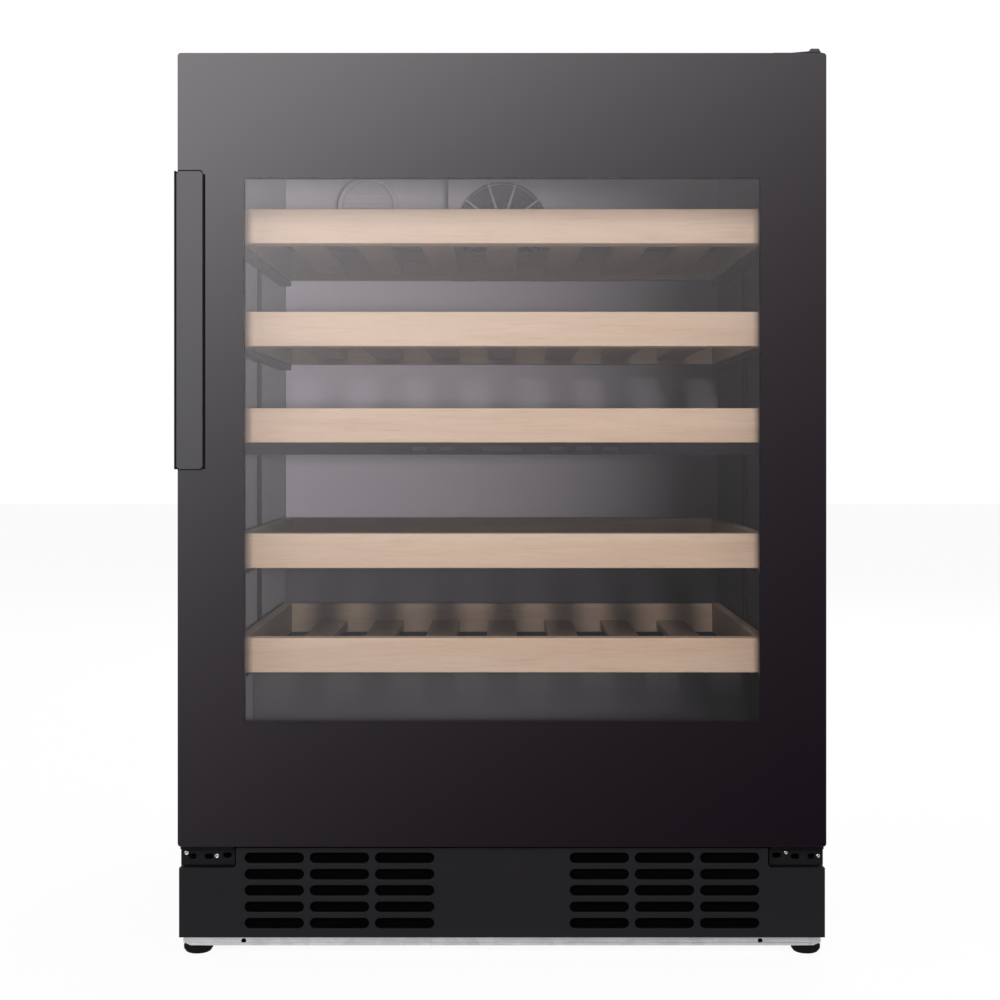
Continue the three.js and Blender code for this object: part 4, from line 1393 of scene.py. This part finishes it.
# %% Back panel
RIB_PROUD, RIB_HALF, RIB_END = 1.35, 14, 60
SHEET_FRONT, SHEET_THICK = 570.75, 0.8


def pressed_sheet(low, high, ribs, columns=150, rows=90):
    """A sheet as two grids, back and front, pushed out by up to RIB_PROUD mm along each upright rib.

    The push is a smooth step of the distance to the rib's middle line, which gives it round ends.
    """
    x = np.linspace(low[0], high[0], columns)
    z = np.linspace(low[2], high[2], rows)
    x, z = np.meshgrid(x, z)
    push = np.zeros_like(x)
    for middle, bottom, top, half in ribs:
        away = np.hypot(x - middle, z - np.clip(z, bottom, top))
        edge_share = np.clip((half + 3 - away) / 6, 0, 1)
        push = np.maximum(push, edge_share**2 * (3 - 2 * edge_share))
    depth = SHEET_FRONT + SHEET_THICK + RIB_PROUD * push
    outer = np.stack([x * MM, depth_y(depth), z * MM], -1)
    inner = outer - (0, SHEET_THICK * MM, 0)
    return np.concatenate([outer, inner[:, ::-1]], axis=1)


def sheet_mesh(name, grid):
    """The sheet's front and back as one closed tube of columns, with its two ends filled in strips."""
    mesh = grid_mesh(name, [grid], caps=False)
    work = bmesh.new()
    work.from_mesh(mesh)
    half = grid.shape[1] // 2
    work.verts.ensure_lookup_table()
    bmesh.ops.holes_fill(work, edges=[e for e in work.edges if e.is_boundary], sides=2 * half)
    bmesh.ops.triangulate(work, faces=[f for f in work.faces if len(f.verts) > 4])
    bmesh.ops.recalc_face_normals(work, faces=work.faces)
    work.to_mesh(mesh)
    work.free()
    return mesh


BACK_SCREW = 2.0
back_low, back_high = span("back_panel")
ribs = [(x, back_low[2] + RIB_END, back_high[2] - RIB_END, RIB_HALF) for x in range(-200, 201, 100)]
sheet = sheet_mesh("back_sheet", pressed_sheet(back_low, back_high, ribs))
add_piece("back_sheet", sheet, zinc_steel, "cabinet", ["back_panel"], crease=60)
sheet_back = SHEET_FRONT + SHEET_THICK
places = [(side * 288, sheet_back, z) for side in (-1, 1) for z in np.linspace(230, 810, 6)]
places += [(x, sheet_back, 820) for x in (-190, -65, 65, 190)]
screws("back_sheet_screws", places, BACK_SCREW, "back")
print("back sheet:", len(sheet.polygons), "faces")

# %% [markdown]
# The lower cover is a flat sheet with three rows of vents and a hole for the mains inlet, so it is one
# more pierced plate. The inlet's shell is a section carried round its outline. Its three pins stand on
# the floor inside, where a cord's connector would find them.


# %% Rear cover
VENT_COLUMNS, VENT_ROWS = range(-3, 4), range(3)
VENT_SIZE = (42, 8)
COVER_BACK = SHEET_FRONT + 0.9

(rear_left, _, rear_bottom), (rear_right, _, rear_top) = span("rear_cover")
rim = [(rear_left, rear_bottom), (rear_right, rear_bottom), (rear_right, rear_top), (rear_left, rear_top)]
vents = [slot_outline(58 * i + 30, 106 + 24 * row, *VENT_SIZE) for i in VENT_COLUMNS for row in VENT_ROWS]
inlet_low, inlet_high = span("power_inlet")
inlet_x, _, inlet_z = (inlet_low + inlet_high) / 2
inlet_half, inlet_bottom, inlet_top = (inlet_high[0] - inlet_low[0]) / 2, inlet_low[2], inlet_high[2]
hole, _ = rounded_outline(inlet_half + 0.8, inlet_bottom - 0.8, inlet_top + 0.8, 2.5, middle=inlet_x)
cover = pierced_plate("vented_cover", [np.array(rim), *vents, hole], (SHEET_FRONT, COVER_BACK), edge=0.3)
add_piece("vented_cover", cover, zinc_steel, "cabinet", ["rear_cover"])
places = [(x, COVER_BACK, z) for x in (-286, 286) for z in (30, 116, 200)]
places += [(x, COVER_BACK, 202) for x in (-100, 100)]
screws("vented_cover_screws", places, BACK_SCREW, "back")
print("rear cover:", len(vents), "vents")

# %% Mains inlet
RIM_BACK, FLOOR_DEPTH = 573, 553
socket, out = rounded_outline(inlet_half, inlet_bottom, inlet_top, 2.5, middle=inlet_x)
inner_wall = [(-5, FLOOR_DEPTH), (-5, RIM_BACK - 0.6), (-4.4, RIM_BACK)]
outer_wall = [(-0.6, RIM_BACK), (0, RIM_BACK - 0.6), (0, inlet_low[1])]
inlet = grid_mesh("mains_inlet", [carried(socket, out, inner_wall + outer_wall)])
add_piece("mains_inlet", inlet, plastic_black, "cabinet", ["power_inlet"])
PIN_DEPTH = (FLOOR_DEPTH - 0.5, 568)
pin_places = [(inlet_x - 7, inlet_z - 2), (inlet_x, inlet_z + 2), (inlet_x + 7, inlet_z - 2)]
pins = [rounded_block((x - 1, x + 1), PIN_DEPTH, (z - 2.5, z + 2.5), radius=0.4) for x, z in pin_places]
pins_mesh = grid_mesh("mains_inlet_blades", pins)
add_piece("mains_inlet_blades", pins_mesh, bright_screw, "cabinet")
print("mains inlet:", len(pins), "pins")

# %% The end
scene = bpy.context.scene
scene.view_settings.view_transform = "Standard"
